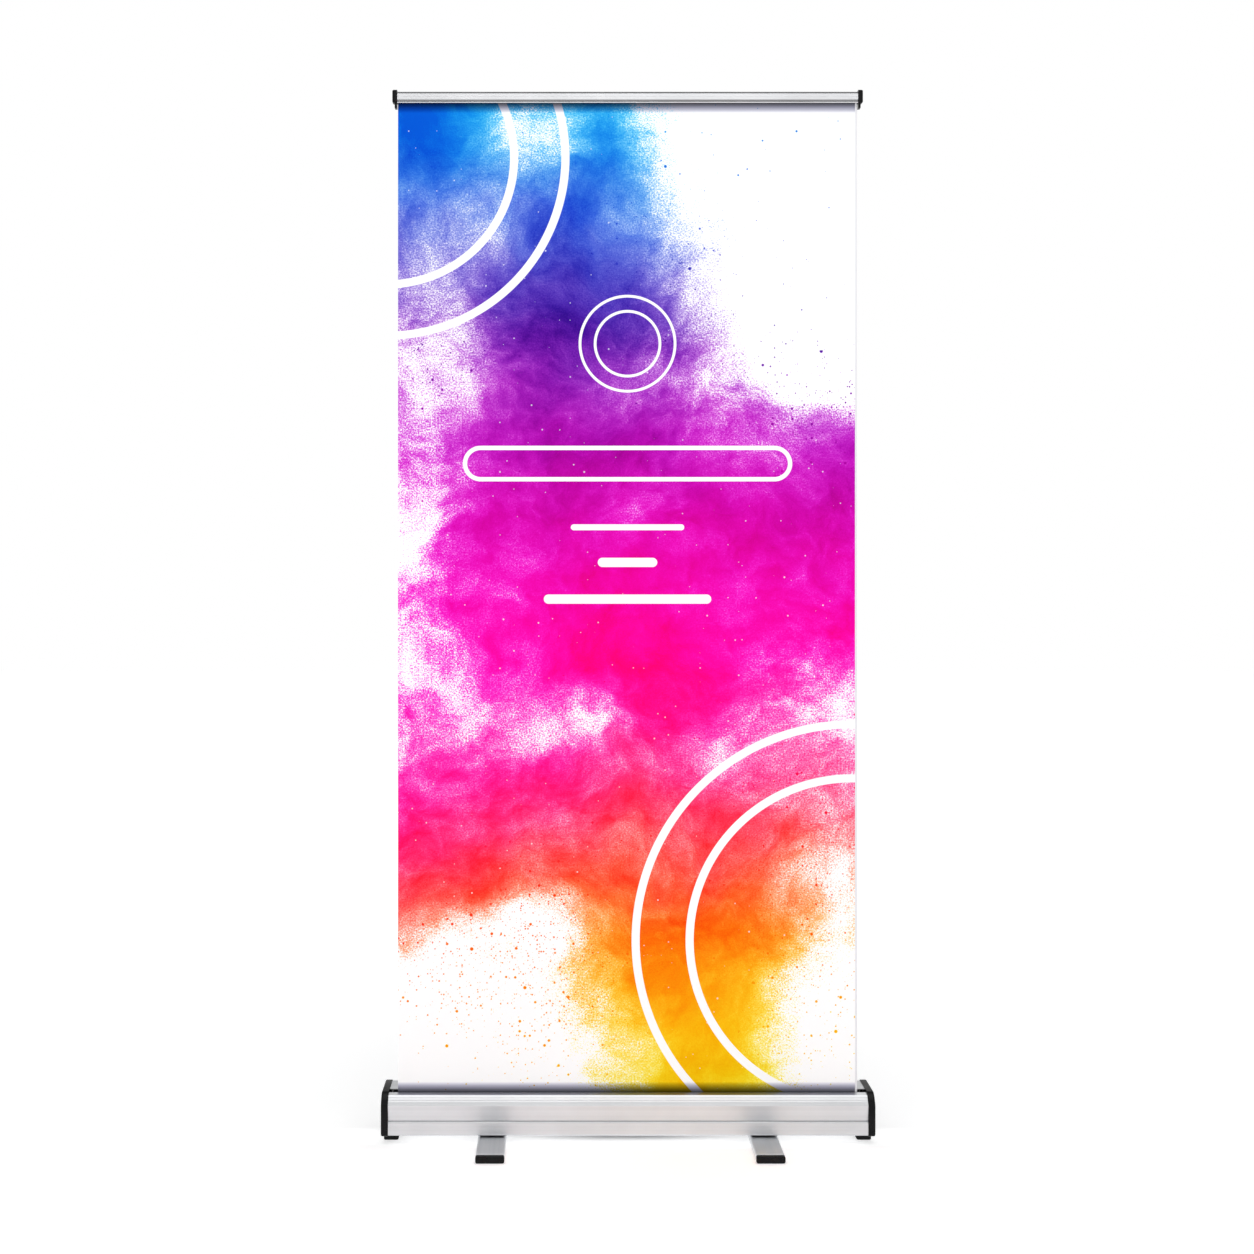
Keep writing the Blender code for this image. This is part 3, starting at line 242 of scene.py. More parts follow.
def turned(profile, centre, axis, sides=48):
    """A closed profile of (radius r, place s on the axis) turned once round the axis:
    a = centre + r cos t, b = centre + r sin t."""
    r, s = np.array(profile, float).T
    t = np.arange(sides) * math.tau / sides
    a = centre[0] + r[:, None] * np.cos(t)
    b = centre[1] + r[:, None] * np.sin(t)
    points = placed(np.repeat(s[:, None], sides, 1), a, b, axis)
    points = np.concatenate((points, points[:1]))
    return points.reshape(-1, 3), lattice(len(points), sides)


def dome(centre, radii, height, axis, out, base, relief=None, sides=40, rings=12):
    """A low dome on a grid of radius q from 0 to 1 and angle t, its height times
    sqrt(1 - 0.8 q^2), less relief(a, b) where given, closed by a flat base."""
    q, t = np.meshgrid(np.linspace(0.0, 1.0, rings + 1), np.arange(sides) * math.tau / sides,
                       indexing="ij")
    a, b = radii[0] * q * np.cos(t), radii[1] * q * np.sin(t)
    rise = height * np.sqrt(1 - 0.8 * q ** 2)
    if relief is not None:
        rise = rise - relief(a, b)
    # Two more rings close it below: the rim again, and its centre, both on the base.
    a, b = (np.vstack((v, v[-1:], 0 * v[-1:])) for v in (a, b))
    s = np.vstack((base + out * rise, np.full((2, sides), base)))
    points = placed(s, centre[0] + a, centre[1] + b, axis)
    return points.reshape(-1, 3), lattice(len(points), sides)


def cross_recess(size, width, depth):
    """A cross-shaped hollow: full depth where the nearer of |a|, |b| is inside half the
    width and the farther is inside half the size, with short slopes at its edges."""
    def relief(a, b):
        near, far = np.minimum(abs(a), abs(b)), np.maximum(abs(a), abs(b))
        side = np.clip((width / 2 - near) / (0.2 * width) + 1, 0, 1)
        end = np.clip((size / 2 - far) / (0.3 * size), 0, 1)
        return depth * side * end
    return relief


def mesh_of(name, shells):
    """One mesh of closed shells: doubles merged, faces turned outwards."""
    points, faces, start = [], [], 0
    for shell_points, shell_faces in shells:
        points.append(shell_points)
        faces += [[v + start for v in face] for face in shell_faces]
        start += len(shell_points)
    mesh = bpy.data.meshes.new(name)
    mesh.from_pydata(np.vstack(points).tolist(), [], faces)
    bm = bmesh.new()
    bm.from_mesh(mesh)
    bmesh.ops.remove_doubles(bm, verts=bm.verts, dist=1e-6)
    bmesh.ops.recalc_face_normals(bm, faces=bm.faces)
    bm.to_mesh(mesh)
    bm.free()
    return mesh


def piece(name, shells, look, body, nodes=(), holes=(), angle=28):
    """A finished piece: its shells less its holes, smooth but for edges sharper than
    the angle, with its material, riding on its body in place of its CAD nodes."""
    made = bpy.data.objects.new(name, mesh_of(name, shells))
    scene.collection.objects.link(made)
    if holes:
        tool = bpy.data.objects.new("hole", mesh_of("hole", holes))
        scene.collection.objects.link(tool)
        change = made.modifiers.new("hole", "BOOLEAN")
        change.operation, change.solver, change.object = "DIFFERENCE", "EXACT", tool
        now = bpy.context.evaluated_depsgraph_get()
        made.data = bpy.data.meshes.new_from_object(made.evaluated_get(now))
        made.modifiers.clear()
        bpy.data.objects.remove(tool)
    made.data.materials.clear()
    made.data.materials.append(look)
    made.data.shade_smooth()
    made.data.set_sharp_from_angle(angle=math.radians(angle))
    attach(made, body)
    if nodes:
        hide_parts(*nodes)
    return made


def corners(node):
    """A CAD node's lowest and highest corner, as arrays."""
    return tuple(np.array(c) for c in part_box(node))


def middle(node, axis):
    """A CAD node's centre, seen along an axis."""
    return np.delete(sum(corners(node)) / 2, axis)


def rounded(radius, end, corner, up=1):
    """The rounded corner of a turned profile, from its side at a radius to its end face:
    r = radius - corner (1 - cos a), s = end - up corner (1 - sin a)."""
    a = np.radians(np.linspace(0, 90, 7))
    return list(zip(radius - corner + corner * np.cos(a), end - up * corner * (1 - np.sin(a))))


def bored(radius, low, high, centre, axis, sides=48, inner=0.0):
    """A cylinder between two places on an axis, or a sleeve with an inner radius."""
    return turned([(inner, low), (radius, low), (radius, high), (inner, high)], centre, axis,
                  sides)


def bevelled(start, end, bevel):
    """Stations of a bar with a bevel round both ends."""
    return [(start, bevel), (start + bevel, 0.0), (end - bevel, 0.0), (end, bevel)]


def set_back(face, side, *steps):
    """Stations from (how far behind a face that looks to a side, inset), in mm."""
    return [(face - side * behind * MM, inset * MM) for behind, inset in steps]


def pan_screw(node, body, axis, side, seat, head, recess, point):
    """A pan-head screw, its head at the side of the axis and standing on its seat. In
    mm: the head's radius and height, the recess's size, width and depth, and the two
    (radius, distance from the tip) between which the point widens to the shank."""
    low, high = corners(node)
    tip = low[axis] if side > 0 else high[axis]
    centre = middle(node, axis)
    radius, height = np.array(head) * MM
    shank = [(0, tip)] + [(r * MM, tip + side * far * MM) for r, far in point]
    under = seat + side * 0.1 * MM
    piece(f"{node}_pan_head",
          [dome(centre, (radius, radius), height, axis, side, seat,
                cross_recess(*(np.array(recess) * MM))),
           turned(shank + [(shank[-1][0], under), (0, under)], centre, axis, 20)],
          zinc, body, [node])


# ---------------------------------------------------------------- materials
def material(name, shade, roughness, metallic=0.0, specular=0.5):
    """A Principled material with its constants on its own sockets."""
    made = bpy.data.materials.new(name)
    made.use_nodes = True
    shader = made.node_tree.nodes["Principled BSDF"]
    shader.inputs["Base Color"].default_value = linear(shade)
    shader.inputs["Roughness"].default_value = roughness
    shader.inputs["Metallic"].default_value = metallic
    shader.inputs["Specular IOR Level"].default_value = specular
    return made, made.node_tree, shader


def finish(tree, shader, colour, roughness, bump, depth):
    """Links worked-out colour, roughness and relief (of a depth in metres) to a shader."""
    relief = add(tree, "Bump", {"Strength": 1.0, "Distance": depth, "Height": bump})
    tree.links.new(colour, shader.inputs["Base Color"])
    tree.links.new(roughness, shader.inputs["Roughness"])
    tree.links.new(relief, shader.inputs["Normal"])


def anodised(name, axis, pale="#d9dadc", dark="#cbccce", edges=None):
    """Extruded aluminium, satin anodised. Die lines 0.3 to 1 mm apart run the whole
    length of the bar, so its sheen is drawn out along it; large faint clouds come
    from the bath. edges gives two heights, and near them dark bands of painted
    shade and painted dark reflection go into the colour."""
    made, tree, shader = material(name, pale, 0.42, 1.0)
    place = add(tree, "TexCoord", out="Object")

    def drawn(across, along, detail, roughness):
        scale = [across] * 3
        scale[axis] = along
        stretched = add(tree, "Mapping", {"Vector": place, "Scale": scale})
        return add(tree, "TexNoise", {"Vector": stretched, "Scale": 1.0, "Detail": detail,
                                      "Roughness": roughness})

    fine = drawn(1100.0, 0.2, 3.0, 0.65)
    bands = drawn(190.0, 0.1, 2.0, 0.5)
    clouds = add(tree, "TexNoise", {"Vector": place, "Scale": 14.0, "Detail": 3.0})
    both = add(tree, "Math", [fine, bands], operation="ADD")
    tone = add(tree, "MapRange", [add(tree, "Math", [both, clouds], operation="ADD"), 1.1, 1.9])
    colour = add(tree, "Mix", {0: tone, 6: linear(dark), 7: linear(pale)}, out=2, data_type="RGBA")
    # Painted shade: dark bands near the given heights stand in for the shade and dark reflections
    # over the rail's lower groove and along its top edge.
    if edges:
        share = add(tree, "MapRange", [add(tree, "SeparateXYZ", [place], out="Z"), *edges])
        oxide = add(tree, "ValToRGB", [share], stops=[
            (0.00, 1.0), (0.06, 1.0), (0.12, 0.40), (0.24, 0.42), (0.34, 1.0), (0.78, 1.0),
            (0.90, 0.36), (1.00, 0.5)])
        colour = add(tree, "Mix", {0: 1.0, 6: colour, 7: oxide}, out=2, data_type="RGBA",
                     blend_type="MULTIPLY")
    rough = add(tree, "MapRange", [both, 0.6, 1.4, 0.28, 0.40])
    finish(tree, shader, colour, rough, fine, 0.004 * MM)
    return made


def moulded(name, shade, edge, roughness, grain, depth):
    """Injection-moulded plastic or rubber with the fine spark-eroded grain of its
    tool, drawn at the given size, and a slightly uneven sheen from handling."""
    made, tree, shader = material(name, shade, roughness, specular=0.16)
    place = add(tree, "TexCoord", out="Object")
    skin = add(tree, "TexNoise", {"Vector": place, "Scale": 1 / grain, "Detail": 4.0,
                                  "Roughness": 0.6})
    wipe = add(tree, "TexNoise", {"Vector": place, "Scale": 42.0, "Detail": 3.0})
    both = add(tree, "Math", [skin, wipe], operation="MULTIPLY")
    colour = add(tree, "Mix", {0: add(tree, "MapRange", [both, 0.18, 0.42]), 6: linear(shade),
                               7: linear(edge)}, out=2, data_type="RGBA")
    rough = add(tree, "MapRange", [wipe, 0.3, 0.7, roughness - 0.06, roughness + 0.08])
    finish(tree, shader, colour, rough, skin, depth)
    return made


def plated(name, pale, dark, roughness):
    """Zinc-plated or bright steel: fine mottled crystals 0.4 mm across and faint wear."""
    made, tree, shader = material(name, pale, roughness, 1.0)
    place = add(tree, "TexCoord", out="Object")
    crystals = add(tree, "TexVoronoi", {"Vector": place, "Scale": 2400.0}, out="Color")
    cloud = add(tree, "TexNoise", {"Vector": place, "Scale": 260.0, "Detail": 4.0})
    shade = add(tree, "SeparateXYZ", [crystals], out="X")
    both = add(tree, "Math", [shade, cloud], operation="MULTIPLY")
    colour = add(tree, "Mix", {0: add(tree, "MapRange", [both, 0.1, 0.5]), 6: linear(dark),
                               7: linear(pale)}, out=2, data_type="RGBA")
    rough = add(tree, "MapRange", [cloud, 0.3, 0.7, roughness - 0.08, roughness + 0.1])
    finish(tree, shader, colour, rough, cloud, 0.006 * MM)
    return made


along_x = anodised("satin_anodised_aluminium_along_x", X)
along_y = anodised("satin_anodised_aluminium_along_y", Y, "#e2e3e5", "#d4d6d9")
along_z = anodised("satin_anodised_aluminium_along_z", Z)
black_abs = moulded("black_moulded_abs", "#060607", "#111113", 0.26, 0.5 * MM, 0.02 * MM)
rubber = moulded("black_nitrile_rubber", "#141414", "#202020", 0.72, 0.8 * MM, 0.03 * MM)
zinc = plated("zinc_plated_steel", "#c4c7cb", "#9c9fa4", 0.34)
spring_steel = plated("blued_spring_steel", "#7d7f86", "#55575e", 0.3)

# ---------------------------------------------------------------- places that pieces share
housing_low, housing_high = corners("cassette_housing")
roller_low, roller_high = corners("roller_tube")
back_low, back_high = corners("rail_back")
jaw_low, jaw_high = corners("rail_jaw")
sheet_low, sheet_high = corners("banner_sheet")
BANNER_HALF = sheet_high[0]
BANNER_Y = (sheet_low[1] + sheet_high[1]) / 2
SLOT_Z = 0.0890                 # the housing's lips, where the banner comes out
RAIL_Z = back_low[2]            # the rail's lower edge, where the print begins
PRINT_HEIGHT = RAIL_Z - SLOT_Z


# ---------------------------------------------------------------- print
def printed_film():
    """The front of the banner: a printed film with a matt laminate. Its picture is a
    cloud of coloured powder on white, blue at the top through violet, magenta and red
    to yellow at the bottom, with plain white rings, a pill and bars over it."""
    made, tree, shader = material("printed_matt_film", "#d01a8a", 0.62, specular=0.03)
    spot = add(tree, "UVMap", uv_map="banner")

    # Two noises push the picture about, by up to 80 mm and 25 mm, so that no edge in
    # it is smooth.
    def pushed(place, scale, reach, detail):
        noise = add(tree, "TexNoise", {"Vector": place, "Scale": scale, "Detail": detail},
                    out="Color")
        centred = add(tree, "VectorMath", [noise, (0.5, 0.5, 0.5)], operation="SUBTRACT")
        return add(tree, "VectorMath", {0: centred, 1: (reach, reach, 0.0), 2: place},
                   operation="MULTIPLY_ADD")

    bent = pushed(pushed(spot, 3.1, 0.20, 3.0), 14.0, 0.055, 6.0)
    down = add(tree, "SeparateXYZ", [bent], out="Y")
    aside = add(tree, "SeparateXYZ", [bent], out="X")

    # The hues run downwards. At the left they come early above and late below.
    def ink(stops):
        late = add(tree, "MapRange", [down, 0.5, 1.3, -0.04, 0.10])
        left = add(tree, "MapRange", [aside, 0.0, 0.45, 1.0, 0.0])
        lag = add(tree, "Math", [late, left], operation="MULTIPLY")
        share = add(tree, "Math", [add(tree, "Math", [down, lag], operation="SUBTRACT"),
                                   PRINT_HEIGHT], operation="DIVIDE")
        return add(tree, "ValToRGB", [share], stops=stops)

    hue = ink([
        (0.00, "#1496e8"), (0.06, "#1e86e4"), (0.12, "#3a62d6"), (0.175, "#5040bc"),
        (0.24, "#6420a8"), (0.29, "#8c1cb0"), (0.35, "#b20cb0"), (0.42, "#d003a6"),
        (0.49, "#ec02a2"), (0.56, "#fa0298"), (0.64, "#fb0c80"), (0.70, "#fb2264"),
        (0.75, "#fb3a44"), (0.79, "#fb4e2c"), (0.84, "#fb7a10"), (0.89, "#fb9c0a"),
        (0.94, "#fbbe10"), (1.00, "#f4d016")])

    def patch(where, size, strength):
        """strength at a place, falling evenly to nothing at the ellipse of that size;
        places and sizes are shares of the width across and of the height down."""
        centre = np.array((where[0] * 2 * BANNER_HALF, where[1] * PRINT_HEIGHT, 0.0))
        radii = np.array((size[0] * 2 * BANNER_HALF, size[1] * PRINT_HEIGHT, 1.0))
        at = add(tree, "Mapping", {"Vector": bent, "Location": (-centre / radii).tolist(),
                                   "Scale": (1 / radii).tolist()})
        flat = add(tree, "VectorMath", [at, (1.0, 1.0, 0.0)], operation="MULTIPLY")
        fall = add(tree, "TexGradient", [flat], out=1, gradient_type="SPHERICAL")
        return add(tree, "Math", [fall, strength], operation="MULTIPLY")

    def total(parts, operation="ADD"):
        summed = parts[0]
        for extra in parts[1:]:
            summed = add(tree, "Math", [summed, extra], operation=operation)
        return summed

    # How much powder lies there: 1 gives the plain hue, less lets the white through,
    # more goes darker. Bare patches first, then the heaps.
    bare = total([
        patch((1.05, 0.01), (0.64, 0.32), 3.4), patch((1.00, 0.20), (0.32, 0.11), 2.0),
        patch((0.08, 0.18), (0.30, 0.10), 0.45), patch((0.25, 0.025), (0.20, 0.06), 0.9),
        patch((0.04, 0.27), (0.28, 0.08), 0.65), patch((0.76, 0.29), (0.36, 0.10), 0.6),
        patch((0.00, 0.36), (0.24, 0.12), 0.4), patch((0.00, 0.46), (0.20, 0.12), 0.95),
        patch((0.04, 0.58), (0.24, 0.07), 0.9), patch((0.40, 0.625), (0.18, 0.05), 0.9),
        patch((0.94, 0.63), (0.38, 0.12), 0.75), patch((0.97, 0.79), (0.18, 0.10), 0.8),
        patch((0.14, 0.64), (0.26, 0.05), 0.5), patch((0.30, 0.84), (0.16, 0.05), 0.9),
        patch((0.08, 0.98), (0.54, 0.17), 3.6), patch((1.04, 0.96), (0.29, 0.16), 2.4)])
    heaped = total([
        patch((0.36, 0.21), (0.20, 0.11), 0.6), patch((0.02, 0.02), (0.20, 0.07), 1.2),
        patch((0.47, 0.06), (0.12, 0.12), 0.5), patch((0.38, 0.36), (0.24, 0.10), 0.3),
        patch((0.55, 0.55), (0.40, 0.12), 0.3), patch((0.16, 0.78), (0.16, 0.06), 0.3),
        patch((0.64, 0.91), (0.30, 0.16), 0.45)])
    cloud = add(tree, "TexNoise", {"Vector": bent, "Scale": 7.0, "Detail": 8.0,
                                   "Roughness": 0.62})
    wisp = add(tree, "TexNoise", {"Vector": bent, "Scale": 26.0, "Detail": 5.0,
                                  "Roughness": 0.7})
    billow = add(tree, "Math", [add(tree, "MapRange", [cloud, 0.30, 0.70, 0.45, 1.30]),
                                add(tree, "MapRange", [wisp, 0.30, 0.70, 0.75, 1.20])],
                 operation="MULTIPLY")
    amount = add(tree, "Math", [add(tree, "Math", [billow, heaped], operation="ADD"), bare],
                 operation="SUBTRACT")

    # Grains 1.4 to 3 mm across show where the powder is thin.
    grains = add(tree, "TexNoise", {"Vector": spot, "Scale": 330.0, "Detail": 2.0,
                                    "Roughness": 0.8})
    grit = add(tree, "MapRange", [grains, 0.25, 0.75, -0.7, 0.7])
    thin = add(tree, "MapRange", [amount, 0.1, 0.95, 1.0, 0.28])
    sifted = add(tree, "Math", [grit, thin, amount], operation="MULTIPLY_ADD")
    powder = add(tree, "MapRange", [sifted, 0.10, 1.70, 0.0, 1.70])

    # Splashed drops, from one cell pattern per size: a cell holds a drop where its
    # random value is under the local chance.
    def drops(cell, chance, largest):
        near = add(tree, "TexVoronoi", {"Vector": spot, "Scale": 1 / cell}, out="Distance")
        shade = add(tree, "TexVoronoi", {"Vector": spot, "Scale": 1 / cell}, out="Color")
        luck = add(tree, "SeparateXYZ", [shade], out="X")
        size = add(tree, "SeparateXYZ", [shade], out="Y")
        radius = add(tree, "Math", [size, size, largest], operation="MULTIPLY_ADD")
        held = add(tree, "Math", [luck, chance], operation="LESS_THAN")
        rim, core = (add(tree, "Math", [radius, share], operation="MULTIPLY")
                     for share in (0.30, 0.20))
        inside = add(tree, "MapRange", [near, rim, core])
        return add(tree, "Math", [inside, held], operation="MULTIPLY")

    splashed = total([
        patch((0.30, 0.86), (0.42, 0.13), 1.1), patch((0.82, 0.80), (0.30, 0.16), 1.0),
        patch((0.92, 0.30), (0.26, 0.08), 0.8), patch((0.55, 0.16), (0.24, 0.12), 0.5),
        patch((0.80, 0.95), (0.36, 0.09), 0.5), patch((0.12, 0.27), (0.22, 0.06), 0.5)])
    chance = add(tree, "Math", [splashed, 0.02], operation="ADD", use_clamp=True)
    spots = total([drops(cell, add(tree, "Math", [chance, share], operation="MULTIPLY"), largest)
                   for cell, share, largest in ((9.0 * MM, 0.35, 0.35), (4.2 * MM, 0.60, 0.45))])
    dark_spots = add(tree, "Math", [spots, 1.25], operation="MULTIPLY")
    dose = add(tree, "Math", [powder, dark_spots], operation="MAXIMUM")

    # Light through ink: the hue to the power of the dose.
    inked = add(tree, "Gamma", [hue, dose])

    # Fine light flecks over the magenta.
    flecks = drops(6.5 * MM, 0.09, 0.0)
    WHITE = linear("#ffffff")
    inked = add(tree, "Mix", {0: add(tree, "Math", [flecks, 0.55], operation="MULTIPLY"),
                              6: inked, 7: WHITE}, out=2, data_type="RGBA")

    # Plain shapes in white over the picture, from distances in metres. BLUR is half the
    # width of their soft edge.
    BLUR = 0.3 * MM

    def apart(where):
        return add(tree, "VectorMath", [spot, (*where, 0.0)], out="Value", operation="DISTANCE")

    def drawn_line(distance, width):
        """A line of a width where the distance is nothing."""
        off = add(tree, "Math", [distance], operation="ABSOLUTE")
        return add(tree, "MapRange", [off, width / 2 + BLUR, width / 2 - BLUR])

    def ring(where, radius, width):
        return drawn_line(add(tree, "Math", [apart(where), radius], operation="SUBTRACT"), width)

    def bar(where, half, roundness):
        """Distance to a rectangle with rounded ends."""
        moved = add(tree, "VectorMath", [spot, (*where, 0.0)], operation="SUBTRACT")
        folded = add(tree, "VectorMath", [moved], operation="ABSOLUTE")
        inner = (half[0] - roundness, half[1] - roundness, 1.0)
        past = add(tree, "VectorMath", [folded, inner], operation="SUBTRACT")
        beyond = add(tree, "VectorMath", [past, (0.0, 0.0, 0.0)], operation="MAXIMUM")
        far = add(tree, "VectorMath", [beyond], out="Value", operation="LENGTH")
        return add(tree, "Math", [far, roundness], operation="SUBTRACT")

    def filled(distance):
        return add(tree, "MapRange", [distance, BLUR, -BLUR])

    def outlined(distance, width):
        return drawn_line(add(tree, "Math", [distance, width / 2], operation="ADD"), width)

    middle_x = BANNER_HALF
    shapes = [
        ring((-0.02, 0.10), 0.330, 15 * MM), ring((-0.02, 0.10), 0.235, 15 * MM),
        ring((0.84, 1.55), 0.400, 15 * MM), ring((0.84, 1.55), 0.300, 15 * MM),
        ring((middle_x, 0.445), 0.088, 5 * MM), ring((middle_x, 0.445), 0.060, 5 * MM),
        outlined(bar((middle_x, 0.667), (0.305, 0.033), 0.033), 8 * MM),
        filled(bar((middle_x, 0.785), (0.105, 0.0055), 0.0055)),
        filled(bar((middle_x, 0.850), (0.055, 0.0085), 0.0085)),
        filled(bar((middle_x, 0.918), (0.155, 0.0085), 0.0085))]
    picture = add(tree, "Mix", {0: total(shapes, "MAXIMUM"), 6: inked, 7: WHITE}, out=2,
                  data_type="RGBA")

    # A grey shade painted along the top and the bottom edge, a painted shadow under
    # the rail and above the slot, and the bare margin that is left at the right-hand edge.
    PAINTED_SHADOW_BAND, MARGIN = 18 * MM, 3.75 * MM
    depth = add(tree, "SeparateXYZ", [spot], out="Y")
    top = add(tree, "Math", [depth, PAINTED_SHADOW_BAND], operation="DIVIDE")
    left = add(tree, "Math", [PRINT_HEIGHT, depth], operation="SUBTRACT")
    foot = add(tree, "Math", [left, PAINTED_SHADOW_BAND], operation="DIVIDE")
    edge = add(tree, "Math", [top, foot], operation="MINIMUM")
    shade = add(tree, "ValToRGB", [edge], stops=[
        (0.0, "#55555e"), (0.20, "#6c6c78"), (0.42, "#9393a4"), (0.66, "#bcbccb"),
        (0.86, "#e2e2ec"), (1.0, "#ffffff")])
    picture = add(tree, "Mix", {0: 1.0, 6: picture, 7: shade}, out=2, data_type="RGBA",
                  blend_type="MULTIPLY")
    across = add(tree, "SeparateXYZ", [spot], out="X")
    edge_x = 2 * BANNER_HALF - MARGIN
    margin = add(tree, "MapRange", [across, edge_x - BLUR / 2, edge_x + BLUR / 2])
    picture = add(tree, "Mix", {0: margin, 6: picture, 7: linear("#e6e6ea")}, out=2,
                  data_type="RGBA")

    skin = add(tree, "TexNoise", {"Vector": spot, "Scale": 900.0, "Detail": 3.0})
    rough = add(tree, "MapRange", [skin, 0.3, 0.7, 0.56, 0.68])
    finish(tree, shader, picture, rough, skin, 0.010 * MM)
    return made


def blockout_film():
    """The back of the banner: a grey blockout coat on polyester film, with a fine
    coated grain and faint streaks along the web, so its sheen is soft."""
    made, tree, shader = material("grey_blockout_film", "#c8c9cb", 0.5, specular=0.3)
    place = add(tree, "TexCoord", out="Object")
    grain = add(tree, "TexNoise", {"Vector": place, "Scale": 1300.0, "Detail": 3.0})
    drawn = add(tree, "Mapping", {"Vector": place, "Scale": (60.0, 60.0, 2.0)})
    web = add(tree, "TexNoise", {"Vector": drawn, "Scale": 1.0, "Detail": 4.0})
    tone = add(tree, "MapRange", [add(tree, "Math", [grain, web], operation="ADD"), 0.7, 1.3])
    colour = add(tree, "Mix", {0: tone, 6: linear("#c2c3c6"), 7: linear("#cfd0d2")}, out=2,
                 data_type="RGBA")
    rough = add(tree, "MapRange", [web, 0.3, 0.7, 0.45, 0.56])
    finish(tree, shader, colour, rough, grain, 0.012 * MM)
    return made


front_film = printed_film()
back_film = blockout_film()


def film(name, shells, body, unrolled=None):
    """A piece of the banner. Its map gives metres across from the left edge and
    metres down from the rail, and its rear and edges take the blockout coat."""
    made = piece(name, shells, front_film, body)
    made.data.materials.append(back_film)
    mesh = made.data
    spots = np.empty(len(mesh.vertices) * 3)
    mesh.vertices.foreach_get("co", spots)
    spots = spots.reshape(-1, 3)
    down = RAIL_Z - spots[:, 2] if unrolled is None else unrolled(spots)
    flat = np.column_stack((spots[:, 0] + BANNER_HALF, down))
    corner = np.empty(len(mesh.loops), int)
    mesh.loops.foreach_get("vertex_index", corner)
    mesh.uv_layers.new(name="banner").data.foreach_set("uv", flat[corner].ravel())
    facing = np.empty(len(mesh.polygons) * 3)
    mesh.polygons.foreach_get("normal", facing)
    facing = facing.reshape(-1, 3)
    outer = facing[:, 1] < -0.5 if unrolled is None else np.ones(len(facing), bool)
    mesh.polygons.foreach_set("material_index", np.where(outer, 0, 1))
    return made


# The banner is in three lengths that meet edge to edge. The top length moves with the
# rail, the middle one, on its own mesh, spans the stretch that winds in towards the
# slot, and the lowest stays between the roller and the slot.
RETRACT = next(j for j in frame["joints"] if j["name"] == "banner_retract")
TRAVEL = abs(RETRACT["range_m"][1] - RETRACT["range_m"][0])
ANCHOR_Z = 0.0850               # inside the slot
SHORTEST = 3.5 * MM             # the middle length, with the banner wound in
SPLIT_Z = ANCHOR_Z + TRAVEL + SHORTEST
thick = (sheet_high[1] - sheet_low[1]) / 2
COLUMNS = 41
columns = np.linspace(-BANNER_HALF, BANNER_HALF, COLUMNS)
strip = np.vstack((np.column_stack((columns, np.full(COLUMNS, BANNER_Y - thick))),
                   np.column_stack((columns[::-1], np.full(COLUMNS, BANNER_Y + thick)))))


def length(name, low, high, rows, body):
    """A flat length of the banner between two heights."""
    return film(name, [carried(strip, [(z, 0.0) for z in np.linspace(low, high, rows)], Z)],
                body)


banner_top = length("banner_upper_length", SPLIT_Z, sheet_high[2], 34, "rail")
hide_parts("banner_sheet")
banner_middle = length("banner_winding_length", ANCHOR_Z, SPLIT_Z, 60, "stand")
banner_foot = length("banner_lead_in", sheet_low[2], ANCHOR_Z, 3, "stand")
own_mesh(banner_middle)

roll_low, roll_high = corners("banner_roll")
roll_centre = middle("banner_roll", X)
roll_outer = (roll_high[1] - roll_low[1]) / 2
roll_inner = (roller_high[1] - roller_low[1]) / 2 + 0.3 * MM


def round_the_roll(p):
    """Metres down the print on the turn of film round the roller, from its angle."""
    angle = np.arctan2(p[:, 2] - roll_centre[1], p[:, 1] - roll_centre[0])
    return RAIL_Z - roll_centre[1] + roll_outer * np.mod(angle - math.pi, math.tau)


roll = film("banner_roll_turn", [bored(roll_outer, roll_low[0], roll_high[0], roll_centre, X,
                                       96, inner=roll_inner)], "roller", round_the_roll)
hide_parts("banner_roll")

# ---------------------------------------------------------------- cassette
WALL = 1.5 * MM
SLOT_FRONT, SLOT_REAR = -23.0 * MM, -11.0 * MM
CREASE_Z, GROOVE_Z = 71.0 * MM, 43.0 * MM
LOW_ROUND, HIGH_ROUND = 4.5 * MM, 7.0 * MM
RIB_PITCH = 4.0 * MM
front, rear = housing_low[1], housing_high[1]
base, top = housing_low[2], housing_high[2] - 0.5 * MM


